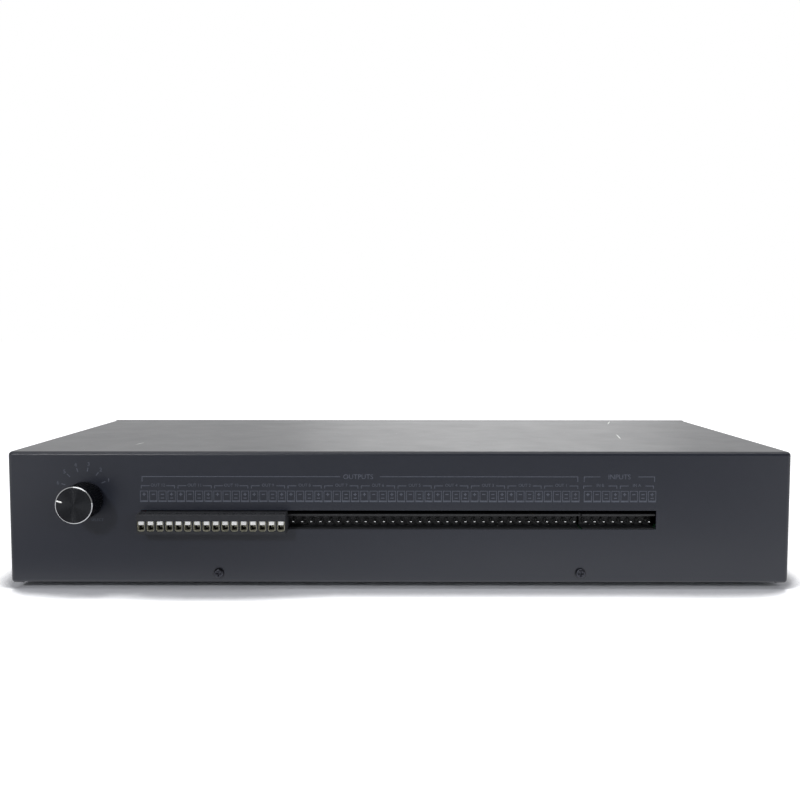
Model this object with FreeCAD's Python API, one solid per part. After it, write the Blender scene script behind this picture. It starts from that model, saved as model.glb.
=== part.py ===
"""Speaker selector switch: a low folded-steel case with pluggable speaker terminals and a matching dial.

Frame: +X to the right when the terminal face is looked at, +Y from the terminal face to the button
fascia, +Z up. The origin is the centre of the footprint, on the plane that the rubber feet stand on.
A "depth" is a distance behind the outer plane of the terminal face. A "height" is a distance above
the underside of the case.
"""
import FreeCAD
import Part
import math
import os

# --- Case: a folded shell that slides over a U-shaped chassis -------------------------------------
CASE_WIDTH = 434.0
CASE_HEIGHT = 74.0
CASE_DEPTH = 197.6          # terminal face to fascia face
SHEET = 1.2                 # steel thickness of shell and chassis
SHELL_BEND = 2.2            # outer radius of the shell's folds
CHASSIS_BEND = 2.0          # outer radius of the chassis's folds
FLANGE_WIDTH = 6.5          # return flange under each side of the shell
FACE_LIFT = 0.9             # lower edge of the terminal face above the flanges' underside
SHELL_FIT = 0.4             # gap between the shell's walls and the chassis
UPTURN_HEIGHT = 11.0        # chassis lip behind the terminal face
FASCIA_THICKNESS = 4.0
FASCIA_EDGE = 0.8           # rounding of the fascia's outer edges

# --- Feet -----------------------------------------------------------------------------------------
FOOT_GAP = 3.4              # table to the underside of the case
FOOT_RADIUS = 7.0
FOOT_TAPER = 1.0            # how much narrower the foot is where it rests
FOOT_INSET_X = 30.0         # foot axis from the case's side
FOOT_INSET_Y = 24.0         # foot axis from the case's ends
FOOT_SCREW_SINK = 0.8       # screw's head above the surface that the foot stands on

# --- M3 screws ------------------------------------------------------------------------------------
SCREW_RADIUS = 1.5
SCREW_HEAD_RADIUS = 2.8
SCREW_HEAD_HEIGHT = 1.9
RECESS_WIDTH = 0.7          # cross recess in a screw's head
RECESS_LENGTH = 3.2
RECESS_DEPTH = 1.1
SCREW_CROWN = 0.6           # rounding of a head's rim, as a share of its height
THREAD_GAP = 0.05           # radial gap drawn between a thread and its tapped hole
CLEARANCE_GAP = 0.2         # radial gap of a plain hole round a screw
CASE_SCREW_SPACING = 201.5
CASE_SCREW_HEIGHT = 6.0
CASE_SCREW_LENGTH = 7.0
FASCIA_SCREW_LENGTH = 4.0
FASCIA_SCREW_INSET = 12.0   # screw axis from the fascia's edges

# --- Terminal row: three speaker headers and one amplifier header ---------------------------------
POLE_PITCH = 5.08
SPEAKER_HEADERS = 3
SPEAKER_POLES = 16          # poles of one speaker header
AMPLIFIER_POLES = 8
AMPLIFIER_GAP = 1.3         # gap between the last speaker header and the amplifier header
ROW_SHIFT = -0.6            # middle of the row from the middle of the case
PIN_HEIGHT = 34.1           # pin axis above the underside of the case
PIN_RISE = 3.85             # pin axis above the terminal board
PIN_SIZE = 1.0
PIN_TIP_SETBACK = 2.7       # pin tip behind the header's mouth
PIN_TIP_LENGTH = 0.8        # tapered end of a pin
PIN_TIP_SIZE = 0.4
PIN_TAIL = 1.8              # pin's tail below the board
SLOT_MARGIN = 0.2           # slot's ends beyond the row
SLOT_BELOW = 3.5            # slot's lower edge below the pin axis
SLOT_ABOVE = 7.1            # slot's upper edge above the pin axis
HEADER_HEIGHT = 8.6
HEADER_DEPTH = 12.0
HEADER_WALL = 0.9
HEADER_BACK = 2.2
HEADER_SETBACK = 0.3        # header's mouth behind the inner plane of the terminal face

# --- Screw plug -----------------------------------------------------------------------------------
PLUG_PROUD = 10.5           # plug's wire side in front of the terminal face
PLUG_GAP = 0.4              # plug's shoulder in front of the terminal face
PLUG_BELOW = 4.2            # plug's underside below the pin axis
PLUG_ABOVE = 6.7            # plug's top above the pin axis
PLUG_EDGE = 0.5
NOSE_DEPTH = 7.5            # plug's nose inside the header's mouth
SOCKET_GAP = 0.3            # gap round the nose
BORE_SIZE = 2.6             # square pin bore through the nose
ENTRY_HEIGHT = 5.8          # wire entry
ENTRY_RISE = 0.1            # middle of the wire entry above the pin axis
ENTRY_DEPTH = 1.0           # front wall that the wire entry goes through
ENTRY_CORNER = 1.3          # rounding of the wire entry's lower corners
CAGE_WIDTH = 4.2
CAGE_DEPTH = 4.2
CAGE_WALL = 0.45
CAGE_CORNER = 1.2           # rounding of the cage's lower corners
CAGE_GAP = 0.1              # gap between a cage and its pocket
BAR_WIDTH = 2.9             # contact bar that the cage draws the wire against
BAR_HEIGHT = 2.2
CLAMP_SCREW_RADIUS = 1.1
CLAMP_HEAD_RADIUS = 1.6
CLAMP_HEAD_HEIGHT = 1.3
CLAMP_HEAD_SINK = 0.8       # clamp screw's head below the plug's top
CLAMP_SLOT_WIDTH = 0.5
CLAMP_SLOT_DEPTH = 0.6
CONTACT_WIDTH = 2.0
CONTACT_THICKNESS = 0.4
CONTACT_GAP = 0.35          # free gap between a contact leaf and its pin

# --- Terminal board and its loom ------------------------------------------------------------------
BOARD_THICKNESS = 1.6
BOARD_MARGIN = 8.0          # board's ends beyond the terminal row
BOARD_FACE_GAP = 1.0        # board's edge behind the inner plane of the terminal face
BOARD_DEPTH = 42.0
BOARD_SCREW_INSET = 4.0     # board screws from the board's edges
STANDOFF_RADIUS = 3.0
BOARD_SCREW_LENGTH = 6.0
LINK_WIRES = 12             # one wire for each room
LINK_PITCH = 5.0
LINK_RADIUS = 0.9
LINK_RISE = 20.0            # loom above the higher of the two boards
LINK_INSET = 10.0           # loom's ends from the boards' facing edges
LINK_BEND = 7.0

# --- Dial: rotary switch behind the terminal face, knob in front of it ----------------------------
DIAL_HEIGHT = 47.5
DIAL_POSITIONS = 6
DIAL_STEP = 30.0            # degrees between two positions
DIAL_MARK_ANGLE = 165.0     # pointer's angle from +X at rest, anticlockwise as the face is looked at
SWITCH_CLEARANCE = 5.4      # gap between the wafers and the terminal board
SHAFT_RADIUS = 3.0
SHAFT_FLAT = 0.8            # depth of the flat that the set screw bears on
RUNNING_GAP = 0.05          # radial gap of a turning fit
SEAT_GAP = 0.02             # radial gap of a fixed fit
BUSHING_RADIUS = 4.5
BUSHING_PROUD = 4.2
SWITCH_PLATE = 32.0         # square plate behind the terminal face
SWITCH_PLATE_THICKNESS = 2.0
WASHER_RADIUS = 7.0
WASHER_THICKNESS = 0.6
NUT_FLATS = 12.0
NUT_THICKNESS = 2.0
DETENT_RADIUS = 10.0
DETENT_THICKNESS = 2.0
DETENT_NOTCH_RADIUS = 1.2
STOP_SLOT_RADIUS = 6.3      # middle of the arc slot that limits the dial's turn
STOP_PIN_RADIUS = 0.8
STOP_GAP = 0.3              # gap round the stop pin in its slot
DETENT_GAP = 0.8            # detent wheel behind the switch plate
SPRING_THICKNESS = 0.4
SPRING_WIDTH = 2.0
SPRING_LENGTH = 16.0
SPRING_GAP = 0.4            # spring's nose above the detent wheel
SPRING_FLOAT = 1.6          # spring's leaf above the wheel's rim
WAFER_RADIUS = 17.0
WAFER_THICKNESS = 1.6
FIRST_WAFER_GAP = 8.8       # switch plate to the front wafer
SECOND_WAFER_GAP = 11.4     # front wafer to the rear wafer
ROTOR_RADIUS = 5.7
ROTOR_GAP = 0.3             # gap round a rotor in its wafer
ROTOR_LIP = 0.8             # rotor's thickness beyond each side of its wafer
TIE_RADIUS = 1.25
WAFER_CONTACTS = 12
WAFER_CONTACT_WIDTH = 1.2
WAFER_CONTACT_THICKNESS = 0.3
WAFER_CONTACT_INSET = 1.0   # contacts' outer ends from the wafer's rim
TIE_OFFSET = 13.0           # tie rods from the dial's axis
SPACER_RADIUS = 2.4
TIE_NUT_FLATS = 5.0
TIE_NUT_THICKNESS = 2.0
SHAFT_TAIL = 2.0            # shaft's end beyond the rear wafer
KNOB_RADIUS = 10.0
KNOB_BODY_LENGTH = 17.1
KNOB_GAP = 1.5              # knob's skirt in front of the terminal face
KNOB_FLUTES = 48
KNOB_FLUTE_RADIUS = 0.45
KNOB_RECESS_RADIUS = 7.7
KNOB_RECESS_DEPTH = 4.0
KNOB_END_WALL = 4.0         # solid knob in front of the shaft's end
DIAL_CAP_THICKNESS = 1.4
DIAL_CAP_CHAMFER = 0.65
MARK_LENGTH = 3.5           # pointer groove from the cap's rim
MARK_WIDTH = 0.75
MARK_DEPTH = 0.25
SET_SCREW_RADIUS = 1.5
SET_SCREW_DEPTH = 8.0       # set screw's axis behind the knob's front
SET_SCREW_SINK = 0.6        # set screw's outer end below the knob's rim

# --- Autoformers ----------------------------------------------------------------------------------
AUTOFORMER_SPACING = 180.0
CORE_WIDTH = 66.0
CORE_LEG = 11.0             # outer legs and yokes; the middle leg is twice as wide
CORE_HEIGHT = 55.0
CORE_STACK = 30.0
WINDING_BUILD = 10.2
WINDING_GAP = 0.4           # winding clear of the core's legs and yokes
STRAP_THICKNESS = 1.2
STRAP_WIDTH = 16.0
STRAP_FOOT = 12.0
TAP_WIRES = 7               # six taps and a common for each autoformer
TAP_PITCH = 1.8
TAP_RADIUS = 0.7
TAP_BEND = 5.0
TAP_START = 9.0             # tap wires beside the dial's axis
TAP_LEVEL = 2.0             # highest tap wire of the left autoformer below the dial's axis
TAP_RUN = 14.0              # wires' cross run behind the wafers
TAP_DROP = 13.0             # drop between the two autoformers' runs

# --- Buttons and switch board ---------------------------------------------------------------------
ROOM_BUTTONS = 12
BUTTON_PITCH = 26.0
AMPLIFIER_BUTTON_GAP = 10.0     # added to the pitch before the amplifier button
BUTTON_HEIGHT = 37.0
BUTTON_WIDTH = 15.0
BUTTON_TALL = 9.0
BUTTON_EDGE = 1.0
BUTTON_PROUD = 4.0
BUTTON_GAP = 0.3            # gap round a button in its window
BUTTON_SKIRT = 2.5          # button's back behind the chassis's front wall
BUTTON_TRAVEL = 3.0
STEM_SIZE = 3.0
STEM_GAP = 0.3
STEM_LENGTH = 7.0
STEM_ROOM = 1.0             # free depth beyond the pressed stem
SWITCH_WIDTH = 9.0
SWITCH_TALL = 9.0
SWITCH_DEPTH = 24.0
SWITCH_STANDOFF = 0.6       # gap between the pressed button and its switch body
SWITCH_BOARD_DEPTH = 42.0
SWITCH_BOARD_MARGIN = 10.0

# --- Places worked out from the sizes above -------------------------------------------------------
CASE_Z = FOOT_GAP
CASE_TOP = CASE_Z + CASE_HEIGHT
KNOB_REACH = KNOB_GAP + KNOB_BODY_LENGTH + DIAL_CAP_THICKNESS
FACE_Y = (max(KNOB_REACH, PLUG_PROUD) - CASE_DEPTH - BUTTON_PROUD) / 2
FACE_INNER_Y = FACE_Y + SHEET
FASCIA_Y = FACE_Y + CASE_DEPTH - FASCIA_THICKNESS
WALL_INNER_Y = FASCIA_Y - SHEET
CHASSIS_Z = CASE_Z + SHEET
FLOOR_Z = CHASSIS_Z + SHEET
CHASSIS_HALF = CASE_WIDTH / 2 - SHEET - SHELL_FIT

PIN_Z = CASE_Z + PIN_HEIGHT
SPEAKER_LENGTH = SPEAKER_POLES * POLE_PITCH
AMPLIFIER_LENGTH = AMPLIFIER_POLES * POLE_PITCH
ROW_LENGTH = SPEAKER_HEADERS * SPEAKER_LENGTH + AMPLIFIER_GAP + AMPLIFIER_LENGTH
ROW_X0 = ROW_SHIFT - ROW_LENGTH / 2
ROW_X1 = ROW_X0 + ROW_LENGTH
AMPLIFIER_X0 = ROW_X1 - AMPLIFIER_LENGTH
MOUTH_Y = FACE_INNER_Y + HEADER_SETBACK
HEADER_END_Y = MOUTH_Y + HEADER_DEPTH
BOARD_TOP_Z = PIN_Z - PIN_RISE
BOARD_X0 = ROW_X0 - BOARD_MARGIN
BOARD_X1 = ROW_X1 + BOARD_MARGIN
BOARD_Y0 = FACE_INNER_Y + BOARD_FACE_GAP
BOARD_Y1 = BOARD_Y0 + BOARD_DEPTH
SOCKET_Z0 = BOARD_TOP_Z + HEADER_WALL
SOCKET_Z1 = BOARD_TOP_Z + HEADER_HEIGHT - HEADER_WALL
PLUG_Z0 = PIN_Z - PLUG_BELOW
PLUG_Z1 = PIN_Z + PLUG_ABOVE
PLUG_Y0 = FACE_Y - PLUG_PROUD
CAGE_Y0 = PLUG_Y0 + ENTRY_DEPTH
CAGE_Y1 = CAGE_Y0 + CAGE_DEPTH
WEB_Y0 = CAGE_Y1 + CAGE_GAP
WEB_Y1 = WEB_Y0 + CONTACT_THICKNESS
ENTRY_Z0 = PIN_Z + ENTRY_RISE - ENTRY_HEIGHT / 2
ENTRY_Z1 = ENTRY_Z0 + ENTRY_HEIGHT
CAGE_Z0 = ENTRY_Z0 + CAGE_GAP
CAGE_Z1 = ENTRY_Z1 + CAGE_WALL

DIAL_X = BOARD_X0 - SWITCH_CLEARANCE - WAFER_RADIUS
DIAL_Z = CASE_Z + DIAL_HEIGHT
PLATE_Y1 = FACE_INNER_Y + SWITCH_PLATE_THICKNESS
DETENT_Y0 = PLATE_Y1 + DETENT_GAP
FRONT_WAFER_Y = PLATE_Y1 + FIRST_WAFER_GAP
REAR_WAFER_Y = FRONT_WAFER_Y + WAFER_THICKNESS + SECOND_WAFER_GAP
REAR_WAFER_END_Y = REAR_WAFER_Y + WAFER_THICKNESS
SHAFT_END_Y = REAR_WAFER_END_Y + ROTOR_LIP + SHAFT_TAIL
KNOB_BACK_Y = FACE_Y - KNOB_GAP
KNOB_FRONT_Y = KNOB_BACK_Y - KNOB_BODY_LENGTH
SHAFT_START_Y = KNOB_FRONT_Y + KNOB_END_WALL

BUTTON_Z = CASE_Z + BUTTON_HEIGHT
BUTTON_FRONT_Y = FACE_Y + CASE_DEPTH + BUTTON_PROUD
BUTTON_BACK_Y = WALL_INNER_Y - BUTTON_SKIRT
SWITCH_Y1 = BUTTON_BACK_Y - BUTTON_TRAVEL - SWITCH_STANDOFF
SWITCH_Y0 = SWITCH_Y1 - SWITCH_DEPTH
BUTTON_SPAN = (ROOM_BUTTONS - 1) * BUTTON_PITCH + BUTTON_PITCH + AMPLIFIER_BUTTON_GAP
FIRST_BUTTON_X = BUTTON_SPAN / 2
AMPLIFIER_BUTTON_X = -BUTTON_SPAN / 2
SWITCH_BOARD_TOP_Z = BUTTON_Z - SWITCH_TALL / 2
SWITCH_BOARD_HALF = BUTTON_SPAN / 2 + SWITCH_WIDTH / 2 + SWITCH_BOARD_MARGIN
SWITCH_BOARD_Y1 = SWITCH_Y1 + BOARD_SCREW_INSET
SWITCH_BOARD_Y0 = SWITCH_BOARD_Y1 - SWITCH_BOARD_DEPTH

AUTOFORMER_Y = (BOARD_Y1 + SWITCH_BOARD_Y0) / 2
WINDOW_WIDTH = CORE_WIDTH / 2 - 2 * CORE_LEG
WINDOW_HEIGHT = CORE_HEIGHT - 2 * CORE_LEG


# --- Building blocks ------------------------------------------------------------------------------
def box(x0, x1, y0, y1, z0, z1):
    """Block between two corners."""
    return Part.makeBox(x1 - x0, y1 - y0, z1 - z0, FreeCAD.Vector(x0, y0, z0))


def rod_y(x, z, radius, y0, y1):
    """Cylinder along Y."""
    return Part.makeCylinder(radius, y1 - y0, FreeCAD.Vector(x, y0, z), FreeCAD.Vector(0, 1, 0))


def rod_z(x, y, radius, z0, z1):
    """Cylinder along Z."""
    return Part.makeCylinder(radius, z1 - z0, FreeCAD.Vector(x, y, z0))


def prism_x(outline, x0, x1):
    """Solid whose (y, z) outline is swept from x0 to x1."""
    points = [FreeCAD.Vector(x0, y, z) for y, z in outline]
    face = Part.Face(Part.makePolygon(points + points[:1]))
    return face.extrude(FreeCAD.Vector(x1 - x0, 0, 0))


def hexagon_y(x, z, flats, y0, y1):
    """Hexagonal block along Y, two of its corners level with its axis."""
    corner = flats / math.sqrt(3)
    points = []
    for side in range(6):
        angle = math.radians(60 * side)
        points.append(FreeCAD.Vector(x + corner * math.cos(angle), y0, z + corner * math.sin(angle)))
    return Part.Face(Part.makePolygon(points + points[:1])).extrude(FreeCAD.Vector(0, y1 - y0, 0))


def runs_along(edge, axis):
    """True where a straight edge runs along "x", "y" or "z"."""
    ends = edge.Vertexes[0].Point - edge.Vertexes[-1].Point
    return abs(getattr(ends, axis)) > 0.999 * ends.Length


def rounded_box(corners, radius, wanted):
    """Block whose edges that pass the test `wanted` are rounded."""
    block = box(*corners)
    return block.makeFillet(radius, [edge for edge in block.Edges if wanted(edge)])


def wire_path(points, bend):
    """Straight runs through the points, joined by tangent arcs of one radius."""
    edges = []
    start = points[0]
    for before, corner, after in zip(points, points[1:], points[2:]):
        towards = (corner - before).normalize()
        away = (after - corner).normalize()
        turn = towards.getAngle(away)
        back = bend * math.tan(turn / 2)
        arc_start = corner - towards * back
        arc_end = corner + away * back
        bisector = (away - towards).normalize()
        middle = corner + bisector * (bend / math.cos(turn / 2) - bend)
        edges.append(Part.makeLine(start, arc_start))
        edges.append(Part.Arc(arc_start, middle, arc_end).toShape())
        start = arc_end
    edges.append(Part.makeLine(start, points[-1]))
    return Part.Wire(edges)


def insulated_wire(points, bend, radius):
    """Round wire along a path with rounded corners."""
    path = wire_path(points, bend)
    circle = Part.Wire([Part.makeCircle(radius, points[0], points[1] - points[0])])
    return path.makePipeShell([circle], True, True)


def pan_screw_y(x, y, z, length, outwards):
    """Screw along Y: the head's seat is at y, and the head stands out towards `outwards`, -1 or 1."""
    head_end = y + outwards * SCREW_HEAD_HEIGHT
    head = rod_y(x, z, SCREW_HEAD_RADIUS, min(y, head_end), max(y, head_end))
    rim = [edge for edge in head.Edges if abs(edge.BoundBox.YMin - head_end) < 1e-6
           and abs(edge.BoundBox.YMax - head_end) < 1e-6]
    head = head.makeFillet(SCREW_CROWN * SCREW_HEAD_HEIGHT, rim)
    tip = y - outwards * length
    shank = rod_y(x, z, SCREW_RADIUS, min(y, tip), max(y, tip))
    floor = head_end - outwards * RECESS_DEPTH
    low, high = min(head_end, floor), max(head_end, floor)
    bar = box(x - RECESS_LENGTH / 2, x + RECESS_LENGTH / 2, low, high,
              z - RECESS_WIDTH / 2, z + RECESS_WIDTH / 2)
    post = box(x - RECESS_WIDTH / 2, x + RECESS_WIDTH / 2, low, high,
               z - RECESS_LENGTH / 2, z + RECESS_LENGTH / 2)
    return head.fuse(shank).cut(bar.fuse(post)).removeSplitter()


def pan_screw_z(x, y, z, length, outwards):
    """Screw along Z: the head's seat is at z, and the head stands out towards `outwards`, -1 or 1."""
    screw = pan_screw_y(0, 0, 0, length, outwards)
    screw.rotate(FreeCAD.Vector(0, 0, 0), FreeCAD.Vector(1, 0, 0), 90)
    screw.translate(FreeCAD.Vector(x, y, z))
    return screw


def save(node, *solids):
    """Write one node's solids to its STEP file."""
    shape = solids[0] if len(solids) == 1 else Part.makeCompound(list(solids))
    shape.exportStep("parts/" + node + ".step")


# --- Places that several parts share --------------------------------------------------------------
def case_screw_places():
    return [(side * CASE_SCREW_SPACING / 2, CASE_Z + CASE_SCREW_HEIGHT) for side in (-1, 1)]


def fascia_screw_places():
    reach = CASE_WIDTH / 2 - FASCIA_SCREW_INSET
    low, high = CASE_Z + FASCIA_SCREW_INSET, CASE_TOP - FASCIA_SCREW_INSET
    return [(side * reach, z) for side in (-1, 1) for z in (low, high)]


def foot_places():
    reach = CASE_WIDTH / 2 - FOOT_INSET_X
    ends = (FACE_Y + FOOT_INSET_Y, FACE_Y + CASE_DEPTH - FOOT_INSET_Y)
    return [(side * reach, y) for side in (-1, 1) for y in ends]


def terminal_board_screw_places():
    """Two screws beside the row's ends, and three along the board's rear edge."""
    left, right = BOARD_X0 + BOARD_SCREW_INSET, BOARD_X1 - BOARD_SCREW_INSET
    front, rear = BOARD_Y0 + BOARD_SCREW_INSET, BOARD_Y1 - BOARD_SCREW_INSET
    return [(left, front), (right, front), (left, rear), ((left + right) / 2, rear), (right, rear)]


def switch_board_screw_places():
    """Screws at the board's corners and in the middle of its inner edge."""
    reach = SWITCH_BOARD_HALF - BOARD_SCREW_INSET
    inner, outer = SWITCH_BOARD_Y0 + BOARD_SCREW_INSET, SWITCH_BOARD_Y1 - BOARD_SCREW_INSET
    return [(-reach, inner), (0, inner), (reach, inner), (-reach, outer), (reach, outer)]


def strap_screw_places():
    reach = CORE_WIDTH / 2 + STRAP_THICKNESS + STRAP_FOOT / 2
    return [(x + side * reach, AUTOFORMER_Y) for x in autoformer_places() for side in (-1, 1)]


def autoformer_places():
    return [-AUTOFORMER_SPACING / 2, AUTOFORMER_SPACING / 2]


def header_rows():
    """First pole's left side and number of poles, for each header along the row."""
    rows = [(ROW_X0 + index * SPEAKER_LENGTH, SPEAKER_POLES) for index in range(SPEAKER_HEADERS)]
    return rows + [(AMPLIFIER_X0, AMPLIFIER_POLES)]


def pole_places(x0, poles):
    return [x0 + (index + 0.5) * POLE_PITCH for index in range(poles)]


def all_pole_places():
    return [x for x0, poles in header_rows() for x in pole_places(x0, poles)]


def button_places():
    """Room buttons from the user's left to right, which is from +X to -X, then the amplifier's."""
    rooms = [FIRST_BUTTON_X - index * BUTTON_PITCH for index in range(ROOM_BUTTONS)]
    return rooms + [AMPLIFIER_BUTTON_X]


# --- Case -----------------------------------------------------------------------------------------
def case_shell():
    """Top, terminal face, sides and the return flanges under the sides, from one sheet."""
    half = CASE_WIDTH / 2

    def folded(edge):
        on_open_end = edge.BoundBox.YMin > FASCIA_Y - 1e-6
        return not on_open_end

    def folded_inside(edge):
        on_open_end = edge.BoundBox.YMin > FASCIA_Y - 1e-6
        return not on_open_end and edge.BoundBox.ZMax > CASE_Z + 2 * SHEET

    outer = rounded_box((-half, half, FACE_Y, FASCIA_Y, CASE_Z, CASE_TOP), SHELL_BEND, folded)
    inner = rounded_box((SHEET - half, half - SHEET, FACE_INNER_Y, FASCIA_Y + SHEET,
                         CHASSIS_Z, CASE_TOP - SHEET), SHELL_BEND - SHEET, folded_inside)
    opening_half = half - FLANGE_WIDTH
    bottom = box(-opening_half, opening_half, FACE_INNER_Y, FASCIA_Y + SHEET, CASE_Z - SHEET, CHASSIS_Z)
    lift = box(-opening_half, opening_half, FACE_Y - SHEET, FASCIA_Y + SHEET,
               CASE_Z - SHEET, CASE_Z + FACE_LIFT)
    slot = box(ROW_X0 - SLOT_MARGIN, ROW_X1 + SLOT_MARGIN, FACE_Y - SHEET, FACE_INNER_Y + SHEET,
               PIN_Z - SLOT_BELOW, PIN_Z + SLOT_ABOVE)
    shell = outer.cut(inner).cut(bottom).cut(lift).cut(slot)
    holes = [rod_y(DIAL_X, DIAL_Z, BUSHING_RADIUS + CLEARANCE_GAP, FACE_Y - SHEET, FACE_INNER_Y + SHEET)]
    for x, z in case_screw_places():
        holes.append(rod_y(x, z, SCREW_RADIUS + CLEARANCE_GAP, FACE_Y - SHEET, FACE_INNER_Y + SHEET))
    return shell.cut(Part.makeCompound(holes))


def base_chassis():
    """Floor, low lip behind the terminal face and full-height wall behind the fascia."""
    top = CASE_TOP - SHEET - SHELL_FIT

    def folded(edge):
        return runs_along(edge, "x") and edge.BoundBox.ZMin < CHASSIS_Z + 2 * SHEET

    outer = rounded_box((-CHASSIS_HALF, CHASSIS_HALF, FACE_INNER_Y, FASCIA_Y, CHASSIS_Z, top),
                        CHASSIS_BEND, folded)
    inner = rounded_box((-CHASSIS_HALF - SHEET, CHASSIS_HALF + SHEET, FACE_INNER_Y + SHEET,
                         WALL_INNER_Y, FLOOR_Z, top + SHEET), CHASSIS_BEND - SHEET, folded)
    above_lip = box(-CHASSIS_HALF - SHEET, CHASSIS_HALF + SHEET, FACE_INNER_Y - SHEET,
                    FACE_INNER_Y + 2 * SHEET, CHASSIS_Z + UPTURN_HEIGHT, top + SHEET)
    holes = []
    tapped = SCREW_RADIUS + THREAD_GAP
    for x, z in case_screw_places():
        holes.append(rod_y(x, z, tapped, FACE_INNER_Y - SHEET, FACE_INNER_Y + 2 * SHEET))
    for x, z in fascia_screw_places():
        holes.append(rod_y(x, z, SCREW_RADIUS + CLEARANCE_GAP, WALL_INNER_Y - SHEET, FASCIA_Y + SHEET))
    for x, y in foot_places() + strap_screw_places():
        holes.append(rod_z(x, y, tapped, CHASSIS_Z - SHEET, FLOOR_Z + SHEET))
    for x in button_places():
        holes.append(button_window(x, WALL_INNER_Y - SHEET, FASCIA_Y + SHEET))
    return outer.cut(inner).cut(above_lip).cut(Part.makeCompound(holes + corner_reliefs(top)))


def corner_reliefs(top):
    """Cutters that keep the chassis's front corners out of the shell's folds."""
    inside = CHASSIS_HALF - SHELL_BEND
    y0, y1 = FACE_INNER_Y - SHEET, FACE_INNER_Y + SHELL_BEND
    return [box(inside, CHASSIS_HALF + SHEET, y0, y1, CHASSIS_Z - SHEET, top),
            box(-CHASSIS_HALF - SHEET, -inside, y0, y1, CHASSIS_Z - SHEET, top)]


def front_fascia():
    """Thick panel with a window for each button and blind tapped holes behind."""
    half = CASE_WIDTH / 2

    def rounded(edge):
        return edge.BoundBox.YMin > FASCIA_Y + FASCIA_THICKNESS - 1e-6 or runs_along(edge, "y")

    panel = rounded_box((-half, half, FASCIA_Y, FASCIA_Y + FASCIA_THICKNESS, CASE_Z, CASE_TOP),
                        FASCIA_EDGE, rounded)
    holes = [button_window(x, FASCIA_Y - SHEET, BUTTON_FRONT_Y) for x in button_places()]
    for x, z in fascia_screw_places():
        holes.append(rod_y(x, z, SCREW_RADIUS + THREAD_GAP, FASCIA_Y - SHEET, fascia_thread_end()))
    return panel.cut(Part.makeCompound(holes))


def fascia_thread_end():
    return WALL_INNER_Y + FASCIA_SCREW_LENGTH + CLEARANCE_GAP


def button_window(x, y0, y1):
    """Cutter for one button's window, through whatever lies between y0 and y1."""
    half_width = BUTTON_WIDTH / 2 + BUTTON_GAP
    half_tall = BUTTON_TALL / 2 + BUTTON_GAP
    return rounded_box((x - half_width, x + half_width, y0, y1, BUTTON_Z - half_tall,
                        BUTTON_Z + half_tall), BUTTON_EDGE + BUTTON_GAP,
                       lambda edge: runs_along(edge, "y"))


def rubber_foot(x, y):
    """Tapered foot with a well for its screw."""
    foot = Part.makeCone(FOOT_RADIUS - FOOT_TAPER, FOOT_RADIUS, CHASSIS_Z, FreeCAD.Vector(x, y, 0))
    seat = foot_screw_seat()
    well = rod_z(x, y, SCREW_HEAD_RADIUS + CLEARANCE_GAP, 0, seat)
    hole = rod_z(x, y, SCREW_RADIUS + THREAD_GAP, 0, CHASSIS_Z)
    return foot.cut(well).cut(hole)


def foot_screw_seat():
    """Height of the shoulder inside a foot that its screw's head bears on."""
    return FOOT_SCREW_SINK + SCREW_HEAD_HEIGHT


def make_case():
    save("case_shell", case_shell())
    save("base_chassis", base_chassis())
    save("front_fascia", front_fascia())
    save("case_screws", *[pan_screw_y(x, FACE_Y, z, CASE_SCREW_LENGTH, -1) for x, z in case_screw_places()])
    save("fascia_screws", *[pan_screw_y(x, WALL_INNER_Y, z, FASCIA_SCREW_LENGTH, -1)
                            for x, z in fascia_screw_places()])
    save("rubber_feet", *[rubber_foot(x, y) for x, y in foot_places()])
    foot_screw_length = FLOOR_Z - foot_screw_seat() + THREAD_GAP
    save("foot_screws", *[pan_screw_z(x, y, foot_screw_seat(), foot_screw_length, -1)
                          for x, y in foot_places()])


# --- Boards ---------------------------------------------------------------------------------------
def board(x0, x1, y0, y1, top, screw_places):
    """Circuit board with a hole for each of its screws."""
    plate = box(x0, x1, y0, y1, top - BOARD_THICKNESS, top)
    holes = [rod_z(x, y, SCREW_RADIUS + CLEARANCE_GAP, top - 2 * BOARD_THICKNESS, top + BOARD_THICKNESS)
             for x, y in screw_places]
    return plate.cut(Part.makeCompound(holes))


def terminal_board():
    plate = board(BOARD_X0, BOARD_X1, BOARD_Y0, BOARD_Y1, BOARD_TOP_Z, terminal_board_screw_places())
    reach = PIN_SIZE / 2 + THREAD_GAP
    leg_y = pin_leg_y()
    holes = [box(x - reach, x + reach, leg_y - reach, leg_y + reach,
                 BOARD_TOP_Z - 2 * BOARD_THICKNESS, BOARD_TOP_Z + BOARD_THICKNESS)
             for x in all_pole_places()]
    return plate.cut(Part.makeCompound(holes))


def switch_board():
    return board(-SWITCH_BOARD_HALF, SWITCH_BOARD_HALF, SWITCH_BOARD_Y0, SWITCH_BOARD_Y1,
                 SWITCH_BOARD_TOP_Z, switch_board_screw_places())


def standoff(x, y, board_top):
    """Tapped pillar from the chassis floor to a board's underside."""
    top = board_top - BOARD_THICKNESS
    pillar = rod_z(x, y, STANDOFF_RADIUS, FLOOR_Z, top)
    thread = rod_z(x, y, SCREW_RADIUS + THREAD_GAP, top - BOARD_SCREW_LENGTH, top)
    return pillar.cut(thread)


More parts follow.
